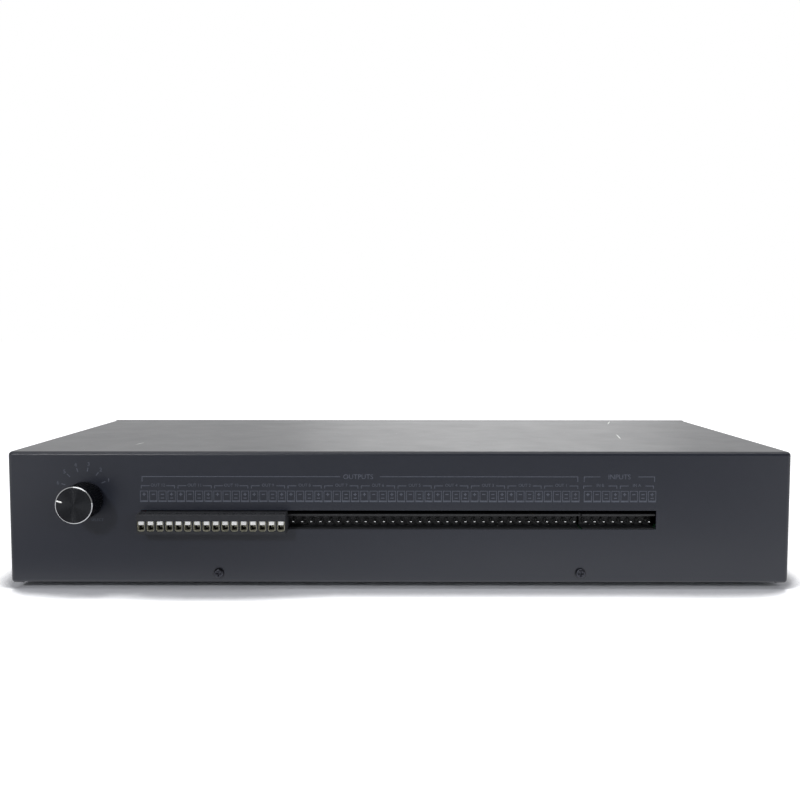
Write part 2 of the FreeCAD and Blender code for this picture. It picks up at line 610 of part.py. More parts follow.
def link_wires():
    """Loom from the terminal board to the switch board, in a hoop over the space between them."""
    level = max(BOARD_TOP_Z, SWITCH_BOARD_TOP_Z) + LINK_RISE
    y0, y1 = BOARD_Y1 - LINK_INSET, SWITCH_BOARD_Y0 + LINK_INSET
    wires = []
    for index in range(LINK_WIRES):
        x = (index - (LINK_WIRES - 1) / 2) * LINK_PITCH + LINK_PITCH / 2
        points = [FreeCAD.Vector(x, y0, BOARD_TOP_Z), FreeCAD.Vector(x, y0, level),
                  FreeCAD.Vector(x, y1, level), FreeCAD.Vector(x, y1, SWITCH_BOARD_TOP_Z)]
        wires.append(insulated_wire(points, LINK_BEND, LINK_RADIUS))
    return wires


def make_boards():
    save("terminal_board", terminal_board())
    save("switch_board", switch_board())
    mounted = [(x, y, BOARD_TOP_Z) for x, y in terminal_board_screw_places()]
    mounted += [(x, y, SWITCH_BOARD_TOP_Z) for x, y in switch_board_screw_places()]
    save("board_standoffs", *[standoff(x, y, top) for x, y, top in mounted])
    save("board_screws", *[pan_screw_z(x, y, top, BOARD_SCREW_LENGTH, 1) for x, y, top in mounted])
    save("link_wires", *link_wires())


# --- Terminal headers -----------------------------------------------------------------------------
def pin_leg_y():
    """Axis of a pin's upright leg, behind its header."""
    return HEADER_END_Y + PIN_SIZE


def header_housing(x0, poles):
    """Open-ended U-shaped housing with a square hole in its back for each pin."""
    x1 = x0 + poles * POLE_PITCH
    top = BOARD_TOP_Z + HEADER_HEIGHT
    block = box(x0, x1, MOUTH_Y, HEADER_END_Y, BOARD_TOP_Z, top)
    socket = box(x0 - HEADER_WALL, x1 + HEADER_WALL, MOUTH_Y - HEADER_WALL,
                 HEADER_END_Y - HEADER_BACK, SOCKET_Z0, SOCKET_Z1)
    reach = PIN_SIZE / 2 + SEAT_GAP
    holes = [box(x - reach, x + reach, MOUTH_Y, HEADER_END_Y + HEADER_WALL, PIN_Z - reach, PIN_Z + reach)
             for x in pole_places(x0, poles)]
    return block.cut(socket).cut(Part.makeCompound(holes))


def header_pin(x):
    """L-shaped pin: a tapered tip in the socket, a bend behind the housing and a tail in the board."""
    half, tip = PIN_SIZE / 2, PIN_TIP_SIZE / 2
    tip_y = MOUTH_Y + PIN_TIP_SETBACK
    leg = pin_leg_y()
    foot = BOARD_TOP_Z - BOARD_THICKNESS - PIN_TAIL
    outline = [(tip_y, PIN_Z - tip), (tip_y + PIN_TIP_LENGTH, PIN_Z - half), (leg - half, PIN_Z - half),
               (leg - half, foot), (leg + half, foot), (leg + half, PIN_Z + half),
               (tip_y + PIN_TIP_LENGTH, PIN_Z + half), (tip_y, PIN_Z + tip)]
    return prism_x(outline, x - half, x + half)


def make_headers():
    names = ["speaker_header_a", "speaker_header_b", "speaker_header_c", "amplifier_header"]
    for name, (x0, poles) in zip(names, header_rows()):
        save(name, header_housing(x0, poles))
    save("header_pins", *[header_pin(x) for x in all_pole_places()])


# --- Screw plug in the first speaker header -------------------------------------------------------
def plug_housing():
    """Body with wire entries and clamp pockets in front, and a nose with pin bores behind."""
    x0, x1 = ROW_X0, ROW_X0 + SPEAKER_LENGTH
    shoulder = FACE_Y - PLUG_GAP
    body = rounded_box((x0, x1, PLUG_Y0, shoulder, PLUG_Z0, PLUG_Z1), PLUG_EDGE,
                       lambda edge: runs_along(edge, "x") and edge.BoundBox.ZMin > PIN_Z)
    nose = box(x0, x1, shoulder, MOUTH_Y + NOSE_DEPTH, SOCKET_Z0 + SOCKET_GAP, SOCKET_Z1 - SOCKET_GAP)
    cutters = []
    for x in pole_places(x0, SPEAKER_POLES):
        cutters += pole_cutters(x)
    return body.fuse(nose).cut(Part.makeCompound(cutters)).removeSplitter()


def pole_cutters(x):
    """Wire entry, clamp pocket, screw well and pin bore of one pole."""
    half = CAGE_WIDTH / 2 + CAGE_GAP
    entry = rounded_box((x - half, x + half, PLUG_Y0 - PLUG_EDGE, WEB_Y1 + CAGE_GAP, ENTRY_Z0, ENTRY_Z1),
                        ENTRY_CORNER, lower_edges_along_y)
    bore = BORE_SIZE / 2
    return [
        entry,
        box(x - half, x + half, CAGE_Y0 - CAGE_GAP, WEB_Y1 + CAGE_GAP, PIN_Z, CAGE_Z1 + CAGE_GAP),
        rod_z(x, (CAGE_Y0 + CAGE_Y1) / 2, CLAMP_HEAD_RADIUS + CAGE_GAP, PIN_Z, PLUG_Z1 + PLUG_EDGE),
        box(x - bore, x + bore, WEB_Y0, MOUTH_Y + NOSE_DEPTH + PLUG_EDGE, PIN_Z - bore, PIN_Z + bore),
    ]


def lower_edges_along_y(edge):
    return runs_along(edge, "y") and edge.BoundBox.ZMax < PIN_Z


def clamp_cage(x):
    """Rising cage, open in front and behind, with rounded lower corners and its screw in the roof."""
    half = CAGE_WIDTH / 2
    cage = rounded_box((x - half, x + half, CAGE_Y0, CAGE_Y1, CAGE_Z0, CAGE_Z1), CAGE_CORNER,
                       lower_edges_along_y)
    inside = rounded_box((x - half + CAGE_WALL, x + half - CAGE_WALL, CAGE_Y0 - CAGE_WALL,
                          CAGE_Y1 + CAGE_WALL, CAGE_Z0 + CAGE_WALL, CAGE_Z1 - CAGE_WALL),
                         CAGE_CORNER - CAGE_WALL, lower_edges_along_y)
    hole = rod_z(x, (CAGE_Y0 + CAGE_Y1) / 2, CLAMP_SCREW_RADIUS + THREAD_GAP, CAGE_Z1 - 2 * CAGE_WALL,
                 CAGE_Z1 + CAGE_WALL)
    return cage.cut(inside).cut(hole)


def clamp_screw(x):
    """Slotted cheese-head screw through the cage's roof, standing on the contact bar."""
    y = (CAGE_Y0 + CAGE_Y1) / 2
    head_top = PLUG_Z1 - CLAMP_HEAD_SINK
    head = rod_z(x, y, CLAMP_HEAD_RADIUS, head_top - CLAMP_HEAD_HEIGHT, head_top)
    shank = rod_z(x, y, CLAMP_SCREW_RADIUS, ENTRY_Z1, head_top - CLAMP_HEAD_HEIGHT)
    slot = box(x - CLAMP_HEAD_RADIUS, x + CLAMP_HEAD_RADIUS, y - CLAMP_SLOT_WIDTH / 2,
               y + CLAMP_SLOT_WIDTH / 2, head_top - CLAMP_SLOT_DEPTH, head_top)
    return head.fuse(shank).cut(slot).removeSplitter()


def plug_contact(x):
    """Bar through the cage, a web behind it, and a fork that grips a pin from above and below."""
    half = CONTACT_WIDTH / 2
    near = PIN_SIZE / 2 + CONTACT_GAP
    far = near + CONTACT_THICKNESS
    y1 = MOUTH_Y + NOSE_DEPTH - CONTACT_THICKNESS
    bar = box(x - BAR_WIDTH / 2, x + BAR_WIDTH / 2, CAGE_Y0, WEB_Y1, ENTRY_Z1 - BAR_HEIGHT, ENTRY_Z1)
    web = box(x - half, x + half, WEB_Y0, WEB_Y1, PIN_Z - far, ENTRY_Z1)
    upper = box(x - half, x + half, WEB_Y0, y1, PIN_Z + near, PIN_Z + far)
    lower = box(x - half, x + half, WEB_Y0, y1, PIN_Z - far, PIN_Z - near)
    return bar.fuse(web).fuse(upper).fuse(lower).removeSplitter()


def make_plug():
    save("plug_housing", plug_housing())
    places = pole_places(ROW_X0, SPEAKER_POLES)
    save("plug_clamp_screws", *[clamp_screw(x) for x in places])
    save("plug_clamp_cages", *[clamp_cage(x) for x in places])
    save("plug_contacts", *[plug_contact(x) for x in places])


# --- Dial and rotary switch -----------------------------------------------------------------------
def dial_knob():
    """Fluted knob with a recess for the nut and a blind bore for the shaft."""
    knob = rod_y(DIAL_X, DIAL_Z, KNOB_RADIUS, KNOB_FRONT_Y, KNOB_BACK_Y)
    cutters = [rod_y(DIAL_X, DIAL_Z, KNOB_RECESS_RADIUS, KNOB_BACK_Y - KNOB_RECESS_DEPTH, KNOB_BACK_Y),
               rod_y(DIAL_X, DIAL_Z, SHAFT_RADIUS + SEAT_GAP, SHAFT_START_Y, KNOB_BACK_Y)]
    for flute in range(KNOB_FLUTES):
        x, z = on_dial(KNOB_RADIUS, flute * 360 / KNOB_FLUTES)
        cutters.append(rod_y(x, z, KNOB_FLUTE_RADIUS, KNOB_FRONT_Y + DIAL_CAP_THICKNESS, KNOB_BACK_Y))
    cutters.append(rod_z(DIAL_X, set_screw_y(), SET_SCREW_RADIUS + THREAD_GAP,
                         DIAL_Z - KNOB_RADIUS - SET_SCREW_SINK, DIAL_Z))
    return knob.cut(Part.makeCompound(cutters))


def set_screw_y():
    return KNOB_FRONT_Y + SET_SCREW_DEPTH


def knob_set_screw():
    """Grub screw from the knob's rim to the shaft's flat."""
    outer = DIAL_Z - KNOB_RADIUS + SET_SCREW_SINK
    screw = rod_z(DIAL_X, set_screw_y(), SET_SCREW_RADIUS, outer, DIAL_Z - SHAFT_RADIUS + SHAFT_FLAT)
    socket = rod_z(DIAL_X, set_screw_y(), SET_SCREW_RADIUS / 2, outer, outer + SET_SCREW_RADIUS)
    return screw.cut(socket)


def dial_cap():
    """Turned face disc with a wide chamfer and a groove for the pointer mark."""
    face_y = KNOB_FRONT_Y - DIAL_CAP_THICKNESS
    disc = rod_y(DIAL_X, DIAL_Z, KNOB_RADIUS, face_y, KNOB_FRONT_Y)
    rim = [edge for edge in disc.Edges if edge.BoundBox.YMax < KNOB_FRONT_Y - DIAL_CAP_THICKNESS / 2]
    mark = box(DIAL_X + KNOB_RADIUS - MARK_LENGTH, DIAL_X + KNOB_RADIUS + MARK_LENGTH,
               face_y - MARK_DEPTH, face_y + MARK_DEPTH, DIAL_Z - MARK_WIDTH / 2, DIAL_Z + MARK_WIDTH / 2)
    mark.rotate(FreeCAD.Vector(DIAL_X, 0, DIAL_Z), FreeCAD.Vector(0, 1, 0), -DIAL_MARK_ANGLE)
    return disc.makeChamfer(DIAL_CAP_CHAMFER, rim).cut(mark)


def selector_shaft():
    """Round shaft with a flat under the set screw."""
    shaft = rod_y(DIAL_X, DIAL_Z, SHAFT_RADIUS, SHAFT_START_Y, SHAFT_END_Y)
    flat = box(DIAL_X - SHAFT_RADIUS, DIAL_X + SHAFT_RADIUS, SHAFT_START_Y, KNOB_BACK_Y - KNOB_RECESS_DEPTH,
               DIAL_Z - SHAFT_RADIUS, DIAL_Z - SHAFT_RADIUS + SHAFT_FLAT)
    return shaft.cut(flat)


def selector_bushing():
    """Square plate behind the terminal face with the threaded bushing that passes through it."""
    half = SWITCH_PLATE / 2
    plate = box(DIAL_X - half, DIAL_X + half, FACE_INNER_Y, PLATE_Y1, DIAL_Z - half, DIAL_Z + half)
    barrel = rod_y(DIAL_X, DIAL_Z, BUSHING_RADIUS, FACE_Y - BUSHING_PROUD, PLATE_Y1)
    bore = rod_y(DIAL_X, DIAL_Z, SHAFT_RADIUS + RUNNING_GAP, FACE_Y - BUSHING_PROUD - SHEET, PLATE_Y1 + SHEET)
    holes = [rod_y(x, DIAL_Z, TIE_RADIUS + THREAD_GAP, FACE_INNER_Y, PLATE_Y1) for x in tie_places()]
    stop_pin = rod_y(DIAL_X, DIAL_Z - STOP_SLOT_RADIUS, STOP_PIN_RADIUS, FACE_INNER_Y,
                     DETENT_Y0 + DETENT_THICKNESS)
    return plate.fuse(barrel).fuse(stop_pin).cut(Part.makeCompound([bore] + holes)).removeSplitter()


def tie_places():
    return [DIAL_X - TIE_OFFSET, DIAL_X + TIE_OFFSET]


def selector_washer():
    y0 = FACE_Y - WASHER_THICKNESS
    return rod_y(DIAL_X, DIAL_Z, WASHER_RADIUS, y0, FACE_Y).cut(
        rod_y(DIAL_X, DIAL_Z, BUSHING_RADIUS + THREAD_GAP, y0, FACE_Y))


def selector_nut():
    y1 = FACE_Y - WASHER_THICKNESS
    return hexagon_y(DIAL_X, DIAL_Z, NUT_FLATS, y1 - NUT_THICKNESS, y1).cut(
        rod_y(DIAL_X, DIAL_Z, BUSHING_RADIUS + THREAD_GAP, y1 - NUT_THICKNESS, y1))


def on_dial(radius, degrees):
    """Point at a radius and an anticlockwise angle round the dial's axis, as (x, z)."""
    angle = math.radians(degrees)
    return DIAL_X + radius * math.cos(angle), DIAL_Z + radius * math.sin(angle)


def detent_wheel():
    """Notched wheel on the shaft, with an arc slot that stops against the plate's pin at both ends."""
    y1 = DETENT_Y0 + DETENT_THICKNESS
    wheel = rod_y(DIAL_X, DIAL_Z, DETENT_RADIUS, DETENT_Y0, y1)
    cutters = [rod_y(DIAL_X, DIAL_Z, SHAFT_RADIUS + SEAT_GAP, DETENT_Y0, y1)]
    for notch in range(round(360 / DIAL_STEP)):
        x, z = on_dial(DETENT_RADIUS, 90 + notch * DIAL_STEP)
        cutters.append(rod_y(x, z, DETENT_NOTCH_RADIUS, DETENT_Y0, y1))
    return wheel.cut(Part.makeCompound(cutters)).cut(stop_slot(DETENT_Y0, y1))


def stop_slot(y0, y1):
    """Arc slot as long as the dial's whole turn, from straight below the shaft anticlockwise."""
    turn = (DIAL_POSITIONS - 1) * DIAL_STEP
    half = STOP_PIN_RADIUS + STOP_GAP
    centre, up = FreeCAD.Vector(0, 0, 0), FreeCAD.Vector(0, 0, 1)
    band = Part.makeCylinder(STOP_SLOT_RADIUS + half, y1 - y0, centre, up, turn)
    band = band.cut(Part.makeCylinder(STOP_SLOT_RADIUS - half, y1 - y0, centre, up, turn))
    band.rotate(centre, up, -90)
    band.rotate(centre, FreeCAD.Vector(1, 0, 0), 90)
    band.translate(FreeCAD.Vector(DIAL_X, y1, DIAL_Z))
    ends = [on_dial(STOP_SLOT_RADIUS, degrees) for degrees in (-90, turn - 90)]
    for x, z in ends:
        band = band.fuse(rod_y(x, z, half, y0, y1))
    return band


def detent_spring():
    """Leaf over the wheel with a round nose, on a block on the switch plate."""
    y0 = DETENT_Y0 + (DETENT_THICKNESS - SPRING_WIDTH) / 2
    y1 = y0 + SPRING_WIDTH
    rim_z = DIAL_Z + DETENT_RADIUS
    leaf_z = rim_z + SPRING_FLOAT
    half = SPRING_LENGTH / 2
    leaf = box(DIAL_X - half, DIAL_X + half, y0, y1, leaf_z, leaf_z + SPRING_THICKNESS)
    nose = box(DIAL_X - SPRING_WIDTH / 2, DIAL_X + SPRING_WIDTH / 2, y0, y1, rim_z + SPRING_GAP, leaf_z)
    block = box(DIAL_X + half - SPRING_WIDTH, DIAL_X + half, PLATE_Y1, y0, leaf_z,
                leaf_z + SPRING_THICKNESS)
    return leaf.fuse(nose).fuse(block).removeSplitter()


def wafer(y):
    """Phenolic wafer with a round opening for its rotor."""
    plate = rod_y(DIAL_X, DIAL_Z, WAFER_RADIUS, y, y + WAFER_THICKNESS)
    holes = [rod_y(DIAL_X, DIAL_Z, ROTOR_RADIUS + ROTOR_GAP, y, y + WAFER_THICKNESS)]
    holes += [rod_y(x, DIAL_Z, TIE_RADIUS + THREAD_GAP, y, y + WAFER_THICKNESS) for x in tie_places()]
    return plate.cut(Part.makeCompound(holes))


def rotor(y):
    """Disc that turns with the shaft inside a wafer."""
    y0, y1 = y - ROTOR_LIP, y + WAFER_THICKNESS + ROTOR_LIP
    return rod_y(DIAL_X, DIAL_Z, ROTOR_RADIUS, y0, y1).cut(
        rod_y(DIAL_X, DIAL_Z, SHAFT_RADIUS + SEAT_GAP, y0, y1))


def wafer_contact(number, y):
    """Radial spring blade on a wafer's front face, from its rotor to its rim."""
    x0 = DIAL_X + ROTOR_RADIUS + 2 * ROTOR_GAP
    x1 = DIAL_X + WAFER_RADIUS - WAFER_CONTACT_INSET
    half = WAFER_CONTACT_WIDTH / 2
    blade = box(x0, x1, y - WAFER_CONTACT_THICKNESS, y, DIAL_Z - half, DIAL_Z + half)
    blade.rotate(FreeCAD.Vector(DIAL_X, 0, DIAL_Z), FreeCAD.Vector(0, 1, 0),
                 (number + 0.5) * 360 / WAFER_CONTACTS)
    return blade


def spacer(x, y0, y1):
    return rod_y(x, DIAL_Z, SPACER_RADIUS, y0, y1).cut(rod_y(x, DIAL_Z, TIE_RADIUS + THREAD_GAP, y0, y1))


def make_dial():
    save("dial_knob", dial_knob())
    save("knob_set_screw", knob_set_screw())
    save("dial_cap", dial_cap())
    save("selector_shaft", selector_shaft())
    save("selector_bushing", selector_bushing())
    save("selector_washer", selector_washer())
    save("selector_nut", selector_nut())
    save("detent_wheel", detent_wheel())
    save("detent_spring", detent_spring())
    save("front_wafer", wafer(FRONT_WAFER_Y))
    save("rear_wafer", wafer(REAR_WAFER_Y))
    save("front_rotor", rotor(FRONT_WAFER_Y))
    save("rear_rotor", rotor(REAR_WAFER_Y))
    save("wafer_contacts", *[wafer_contact(number, y) for number in range(WAFER_CONTACTS)
                             for y in (FRONT_WAFER_Y, REAR_WAFER_Y)])
    gaps = [(PLATE_Y1, FRONT_WAFER_Y), (FRONT_WAFER_Y + WAFER_THICKNESS, REAR_WAFER_Y)]
    save("wafer_spacers", *[spacer(x, y0, y1) for x in tie_places() for y0, y1 in gaps])
    nut_end = REAR_WAFER_END_Y + TIE_NUT_THICKNESS
    save("tie_rods", *[rod_y(x, DIAL_Z, TIE_RADIUS, FACE_INNER_Y, nut_end) for x in tie_places()])
    save("tie_rod_nuts", *[hexagon_y(x, DIAL_Z, TIE_NUT_FLATS, REAR_WAFER_END_Y, nut_end).cut(
        rod_y(x, DIAL_Z, TIE_RADIUS + THREAD_GAP, REAR_WAFER_END_Y, nut_end)) for x in tie_places()])


# --- Autoformers ----------------------------------------------------------------------------------
def autoformer_core(x):
    """Stack of E and I laminations with a window on each side of the middle leg."""
    half, stack = CORE_WIDTH / 2, CORE_STACK / 2
    y0, y1 = AUTOFORMER_Y - stack, AUTOFORMER_Y + stack
    core = box(x - half, x + half, y0, y1, FLOOR_Z, FLOOR_Z + CORE_HEIGHT)
    z0 = FLOOR_Z + CORE_LEG
    windows = [box(x + CORE_LEG, x + CORE_LEG + WINDOW_WIDTH, y0, y1, z0, z0 + WINDOW_HEIGHT),
               box(x - CORE_LEG - WINDOW_WIDTH, x - CORE_LEG, y0, y1, z0, z0 + WINDOW_HEIGHT)]
    return core.cut(Part.makeCompound(windows))


def autoformer_winding(x):
    """Winding round the middle leg, through both windows."""
    build = min(WINDING_BUILD, WINDOW_WIDTH - 2 * WINDING_GAP)
    hollow_x, hollow_y = CORE_LEG + WINDING_GAP, CORE_STACK / 2 + WINDING_GAP
    z0 = FLOOR_Z + CORE_LEG
    z1 = z0 + WINDOW_HEIGHT
    outer = box(x - hollow_x - build, x + hollow_x + build, AUTOFORMER_Y - hollow_y - build,
                AUTOFORMER_Y + hollow_y + build, z0, z1)
    upright = [edge for edge in outer.Edges if runs_along(edge, "z")]
    outer = outer.makeFillet(build / 2, upright)
    hollow = box(x - hollow_x, x + hollow_x, AUTOFORMER_Y - hollow_y, AUTOFORMER_Y + hollow_y, z0, z1)
    return outer.cut(hollow)


def winding_face_y():
    """Side of the windings that faces the terminal board."""
    build = min(WINDING_BUILD, WINDOW_WIDTH - 2 * WINDING_GAP)
    return AUTOFORMER_Y - CORE_STACK / 2 - WINDING_GAP - build


def core_strap(x):
    """U-shaped strap over a core, with a foot on the floor at each side."""
    half, width = CORE_WIDTH / 2, STRAP_WIDTH / 2
    y0, y1 = AUTOFORMER_Y - width, AUTOFORMER_Y + width
    top = FLOOR_Z + CORE_HEIGHT
    hoop = box(x - half - STRAP_THICKNESS, x + half + STRAP_THICKNESS, y0, y1, FLOOR_Z, top + STRAP_THICKNESS)
    hoop = hoop.cut(box(x - half, x + half, y0, y1, FLOOR_Z, top))
    reach = half + STRAP_THICKNESS + STRAP_FOOT
    feet = box(x - reach, x + reach, y0, y1, FLOOR_Z, FLOOR_Z + STRAP_THICKNESS)
    feet = feet.cut(box(x - half, x + half, y0, y1, FLOOR_Z, FLOOR_Z + STRAP_THICKNESS))
    holes = [rod_z(x + side * (half + STRAP_THICKNESS + STRAP_FOOT / 2), AUTOFORMER_Y,
                   SCREW_RADIUS + CLEARANCE_GAP, FLOOR_Z, FLOOR_Z + STRAP_THICKNESS) for side in (-1, 1)]
    return hoop.fuse(feet).cut(Part.makeCompound(holes)).removeSplitter()


def tap_wires():
    """Flat bundles from the rear wafer's face to the two windings; the right one drops and crosses."""
    left_x, right_x = autoformer_places()
    start_y = REAR_WAFER_END_Y
    end_y = winding_face_y()
    run_y = BOARD_Y1 + TAP_RUN / 2
    wires = []
    for index in range(TAP_WIRES):
        high = DIAL_Z - TAP_LEVEL - index * TAP_PITCH
        low = high - TAP_DROP
        x = DIAL_X + TAP_START
        wires.append(tap_wire([(x, start_y, high), (x, run_y, high), (left_x, run_y, high),
                               (left_x, end_y, high)]))
        x = DIAL_X - TAP_START
        wires.append(tap_wire([(x, start_y, high), (x, run_y, high), (x, run_y, low),
                               (right_x, run_y, low), (right_x, end_y, low)]))
    return wires


def tap_wire(points):
    return insulated_wire([FreeCAD.Vector(*point) for point in points], TAP_BEND, TAP_RADIUS)


def make_autoformers():
    for side, x in zip(("left", "right"), autoformer_places()):
        save(side + "_core", autoformer_core(x))
        save(side + "_winding", autoformer_winding(x))
    save("core_straps", *[core_strap(x) for x in autoformer_places()])
    save("strap_screws", *[pan_screw_z(x, y, FLOOR_Z + STRAP_THICKNESS, STRAP_THICKNESS + SHEET, 1)
                           for x, y in strap_screw_places()])
    save("tap_wires", *tap_wires())


# --- Buttons --------------------------------------------------------------------------------------
def push_button(x):
    """Cap that stands out of the fascia, with a square stem into its switch body."""
    half_width, half_tall = BUTTON_WIDTH / 2, BUTTON_TALL / 2
    cap = rounded_box((x - half_width, x + half_width, BUTTON_BACK_Y, BUTTON_FRONT_Y,
                       BUTTON_Z - half_tall, BUTTON_Z + half_tall), BUTTON_EDGE,
                      lambda edge: runs_along(edge, "y"))
    half = STEM_SIZE / 2
    stem = box(x - half, x + half, BUTTON_BACK_Y - STEM_LENGTH, BUTTON_BACK_Y,
               BUTTON_Z - half, BUTTON_Z + half)
    return cap.fuse(stem)


def switch_body(x):
    """Push switch on the board, with a square socket for the button's stem."""
    half_width, half_tall = SWITCH_WIDTH / 2, SWITCH_TALL / 2
    body = box(x - half_width, x + half_width, SWITCH_Y0, SWITCH_Y1, BUTTON_Z - half_tall,
               BUTTON_Z + half_tall)
    half = STEM_SIZE / 2 + STEM_GAP
    bottom = BUTTON_BACK_Y - STEM_LENGTH - BUTTON_TRAVEL - STEM_ROOM
    return body.cut(box(x - half, x + half, bottom, SWITCH_Y1, BUTTON_Z - half, BUTTON_Z + half))


def make_buttons():
    places = button_places()
    for number, x in enumerate(places[:-1], start=1):
        save("room_button_" + str(number), push_button(x))
    save("amplifier_button", push_button(places[-1]))
    save("switch_bodies", *[switch_body(x) for x in places])


os.makedirs("parts", exist_ok=True)
make_case()
make_boards()
make_headers()
make_plug()
make_dial()
make_autoformers()
make_buttons()
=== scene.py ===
"""Speaker selector switch: finishes, printed marks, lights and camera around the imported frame.

Lengths are in millimetres until they reach a mesh or a socket, where MM turns them to metres. X runs to
the right when the terminal face is looked at, Y from that face to the button fascia, and Z up.
"""
import logging
import math
from dataclasses import dataclass
from enum import Enum

import bmesh
import bpy
from mathutils import Matrix, Vector


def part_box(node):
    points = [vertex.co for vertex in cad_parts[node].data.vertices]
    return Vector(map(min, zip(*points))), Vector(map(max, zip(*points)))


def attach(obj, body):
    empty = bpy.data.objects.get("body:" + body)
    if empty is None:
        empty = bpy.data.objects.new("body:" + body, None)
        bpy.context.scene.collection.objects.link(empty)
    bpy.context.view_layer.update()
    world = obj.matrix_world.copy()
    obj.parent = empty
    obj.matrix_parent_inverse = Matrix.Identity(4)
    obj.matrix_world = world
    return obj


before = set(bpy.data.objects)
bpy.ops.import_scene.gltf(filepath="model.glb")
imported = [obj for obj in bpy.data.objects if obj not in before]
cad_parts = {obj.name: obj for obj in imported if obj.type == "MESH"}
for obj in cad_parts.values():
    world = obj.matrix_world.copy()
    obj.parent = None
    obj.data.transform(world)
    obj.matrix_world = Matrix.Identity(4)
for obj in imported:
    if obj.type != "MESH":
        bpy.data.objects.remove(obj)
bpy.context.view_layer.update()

MM = 0.001
PIN_SIZE = 1.0              # side of a square header pin
POLES = {"speaker_header_a": 16, "speaker_header_b": 16, "speaker_header_c": 16, "amplifier_header": 8}
SAME_POINT = 1e-7           # metres between two points that are taken for one
NOISE_RANGE = (0.3, 0.7)    # values that a noise texture mostly keeps between
LOG = logging.getLogger("speaker_selector")

Tree = bpy.types.NodeTree
Socket = bpy.types.NodeSocket
Mesh = bpy.types.Mesh
Material = bpy.types.Material


# --- Shared tools ---------------------------------------------------------------------------------
class Body(Enum):
    """Bodies of the frame that the added pieces ride on."""

    CASE = "case"
    DIAL = "dial"


class Facing(Enum):
    """Side of the case that a print is on, as the turn that stands flat letters up on it."""

    TERMINALS = Matrix.Rotation(math.radians(90), 4, "X")
    BUTTONS = Matrix.Rotation(math.radians(180), 4, "Z") @ Matrix.Rotation(math.radians(90), 4, "X")


def linear(colour: str) -> tuple[float, float, float, float]:
    """Turn an sRGB hex colour to linear RGBA.

    Args:
        colour: Colour such as "#2c2e33".

    Returns:
        Red, green, blue and an alpha of 1.
    """
    channels = (int(colour[start:start + 2], 16) / 255 for start in (1, 3, 5))
    return tuple(c / 12.92 if c <= 0.04045 else ((c + 0.055) / 1.055) ** 2.4 for c in channels) + (1.0,)


def find(sockets: bpy.types.bpy_prop_collection, key: str) -> Socket:
    """Return the socket that has this identifier or name."""
    return next(socket for socket in sockets if key in (socket.identifier, socket.name))


def add(tree: Tree, kind: str, inputs: dict | None = None, out: str | None = None,
        **settings: object) -> Socket | None:
    """Add one node to a tree, with its settings, values and links.

    Args:
        tree: Shader or geometry tree.
        kind: Type of the node, such as "ShaderNodeMath".
        inputs: For each socket's name or identifier, its value or the socket that feeds it.
        out: Name or identifier of the output wanted, or None for the first.
        settings: Properties of the node.

    Returns:
        The output socket, or None for a node without outputs.
    """
    node = tree.nodes.new(kind)
    for name, value in settings.items():
        setattr(node, name, value)
    for key, value in (inputs or {}).items():
        socket = find(node.inputs, key)
        if isinstance(value, Socket):
            tree.links.new(value, socket)
        else:
            socket.default_value = value
    if out:
        return find(node.outputs, out)
    return node.outputs[0] if node.outputs else None


def calc(tree: Tree, operation: str, first: object, second: object = None) -> Socket:
    """Work out one number from another, or from two.

    Args:
        tree: Shader or geometry tree.
        operation: What to do, as Blender names it.
        first: First number, or its socket.
        second: Second number, or its socket.

    Returns:
        The result.
    """
    given = {"Value": first} if second is None else {"Value": first, "Value_001": second}
    return add(tree, "ShaderNodeMath", given, operation=operation)


def vector(tree: Tree, operation: str, first: object, second: object = None) -> Socket:
    """Work out one vector, or a length, from another vector or from two.

    Args:
        tree: Shader or geometry tree.
        operation: What to do, as Blender names it.
        first: First vector, or its socket.
        second: Second vector, or its socket.

    Returns:
        The result.
    """
    given = {"Vector": first} if second is None else {"Vector": first, "Vector_001": second}
    return add(tree, "ShaderNodeVectorMath", given, out="Value" if operation == "LENGTH" else None,
               operation=operation)


def remap(tree: Tree, value: Socket, start: float, end: float, low: float = 0.0, high: float = 1.0,
          smooth: bool = False) -> Socket:
    """Take one range of a number to another, and stay at its ends beyond it.

    Args:
        tree: Shader tree.
        value: The number.
        start: Where the range starts.
        end: Where it ends.
        low: Result at the start.
        high: Result at the end.
        smooth: Whether it eases in and out.

    Returns:
        The result.
    """
    given = {"Value": value, "From Min": start, "From Max": end, "To Min": low, "To Max": high}
    return add(tree, "ShaderNodeMapRange", given, interpolation_type="SMOOTHSTEP" if smooth else "LINEAR")


def blend(tree: Tree, share: object, first: object, second: object, data_type: str = "FLOAT") -> Socket:
    """Go from one value to another.

    Args:
        tree: Shader tree.
        share: Share of the second value.
        first: First value.
        second: Second value.
        data_type: "FLOAT" for numbers, or "RGBA" for colours.

    Returns:
        The blend.
    """
    kind = {"FLOAT": "Float", "RGBA": "Color"}[data_type]
    given = {"Factor_Float": share, "A_" + kind: first, "B_" + kind: second}
    return add(tree, "ShaderNodeMix", given, out="Result_" + kind, data_type=data_type)


def noise(tree: Tree, place: Socket, size: float, detail: float = 2.0, **more: float) -> Socket:
    """Cloud a surface with patches of about this size, in millimetres."""
    return add(tree, "ShaderNodeTexNoise", {"Vector": place, "Scale": per(size), "Detail": detail} | more)


def bump(tree: Tree, height: Socket, depth: float, under: Socket | None = None,
         invert: bool = False) -> Socket:
    """Turn a pattern to relief.

    Args:
        tree: Shader tree.
        height: The pattern, from 0 to 1.
        depth: Height of the relief in millimetres.
        under: Normal that it lies on, if it isn't the surface's own.
        invert: Whether 1 is deep.

    Returns:
        The normal.
    """
    given = {"Height": height, "Distance": depth * MM} | ({} if under is None else {"Normal": under})
    return add(tree, "ShaderNodeBump", given, invert=invert)


def per(size: float) -> float:
    """Texture scale, in cells for each metre, of a pattern with cells of this size in millimetres."""
    return 1 / (size * MM)


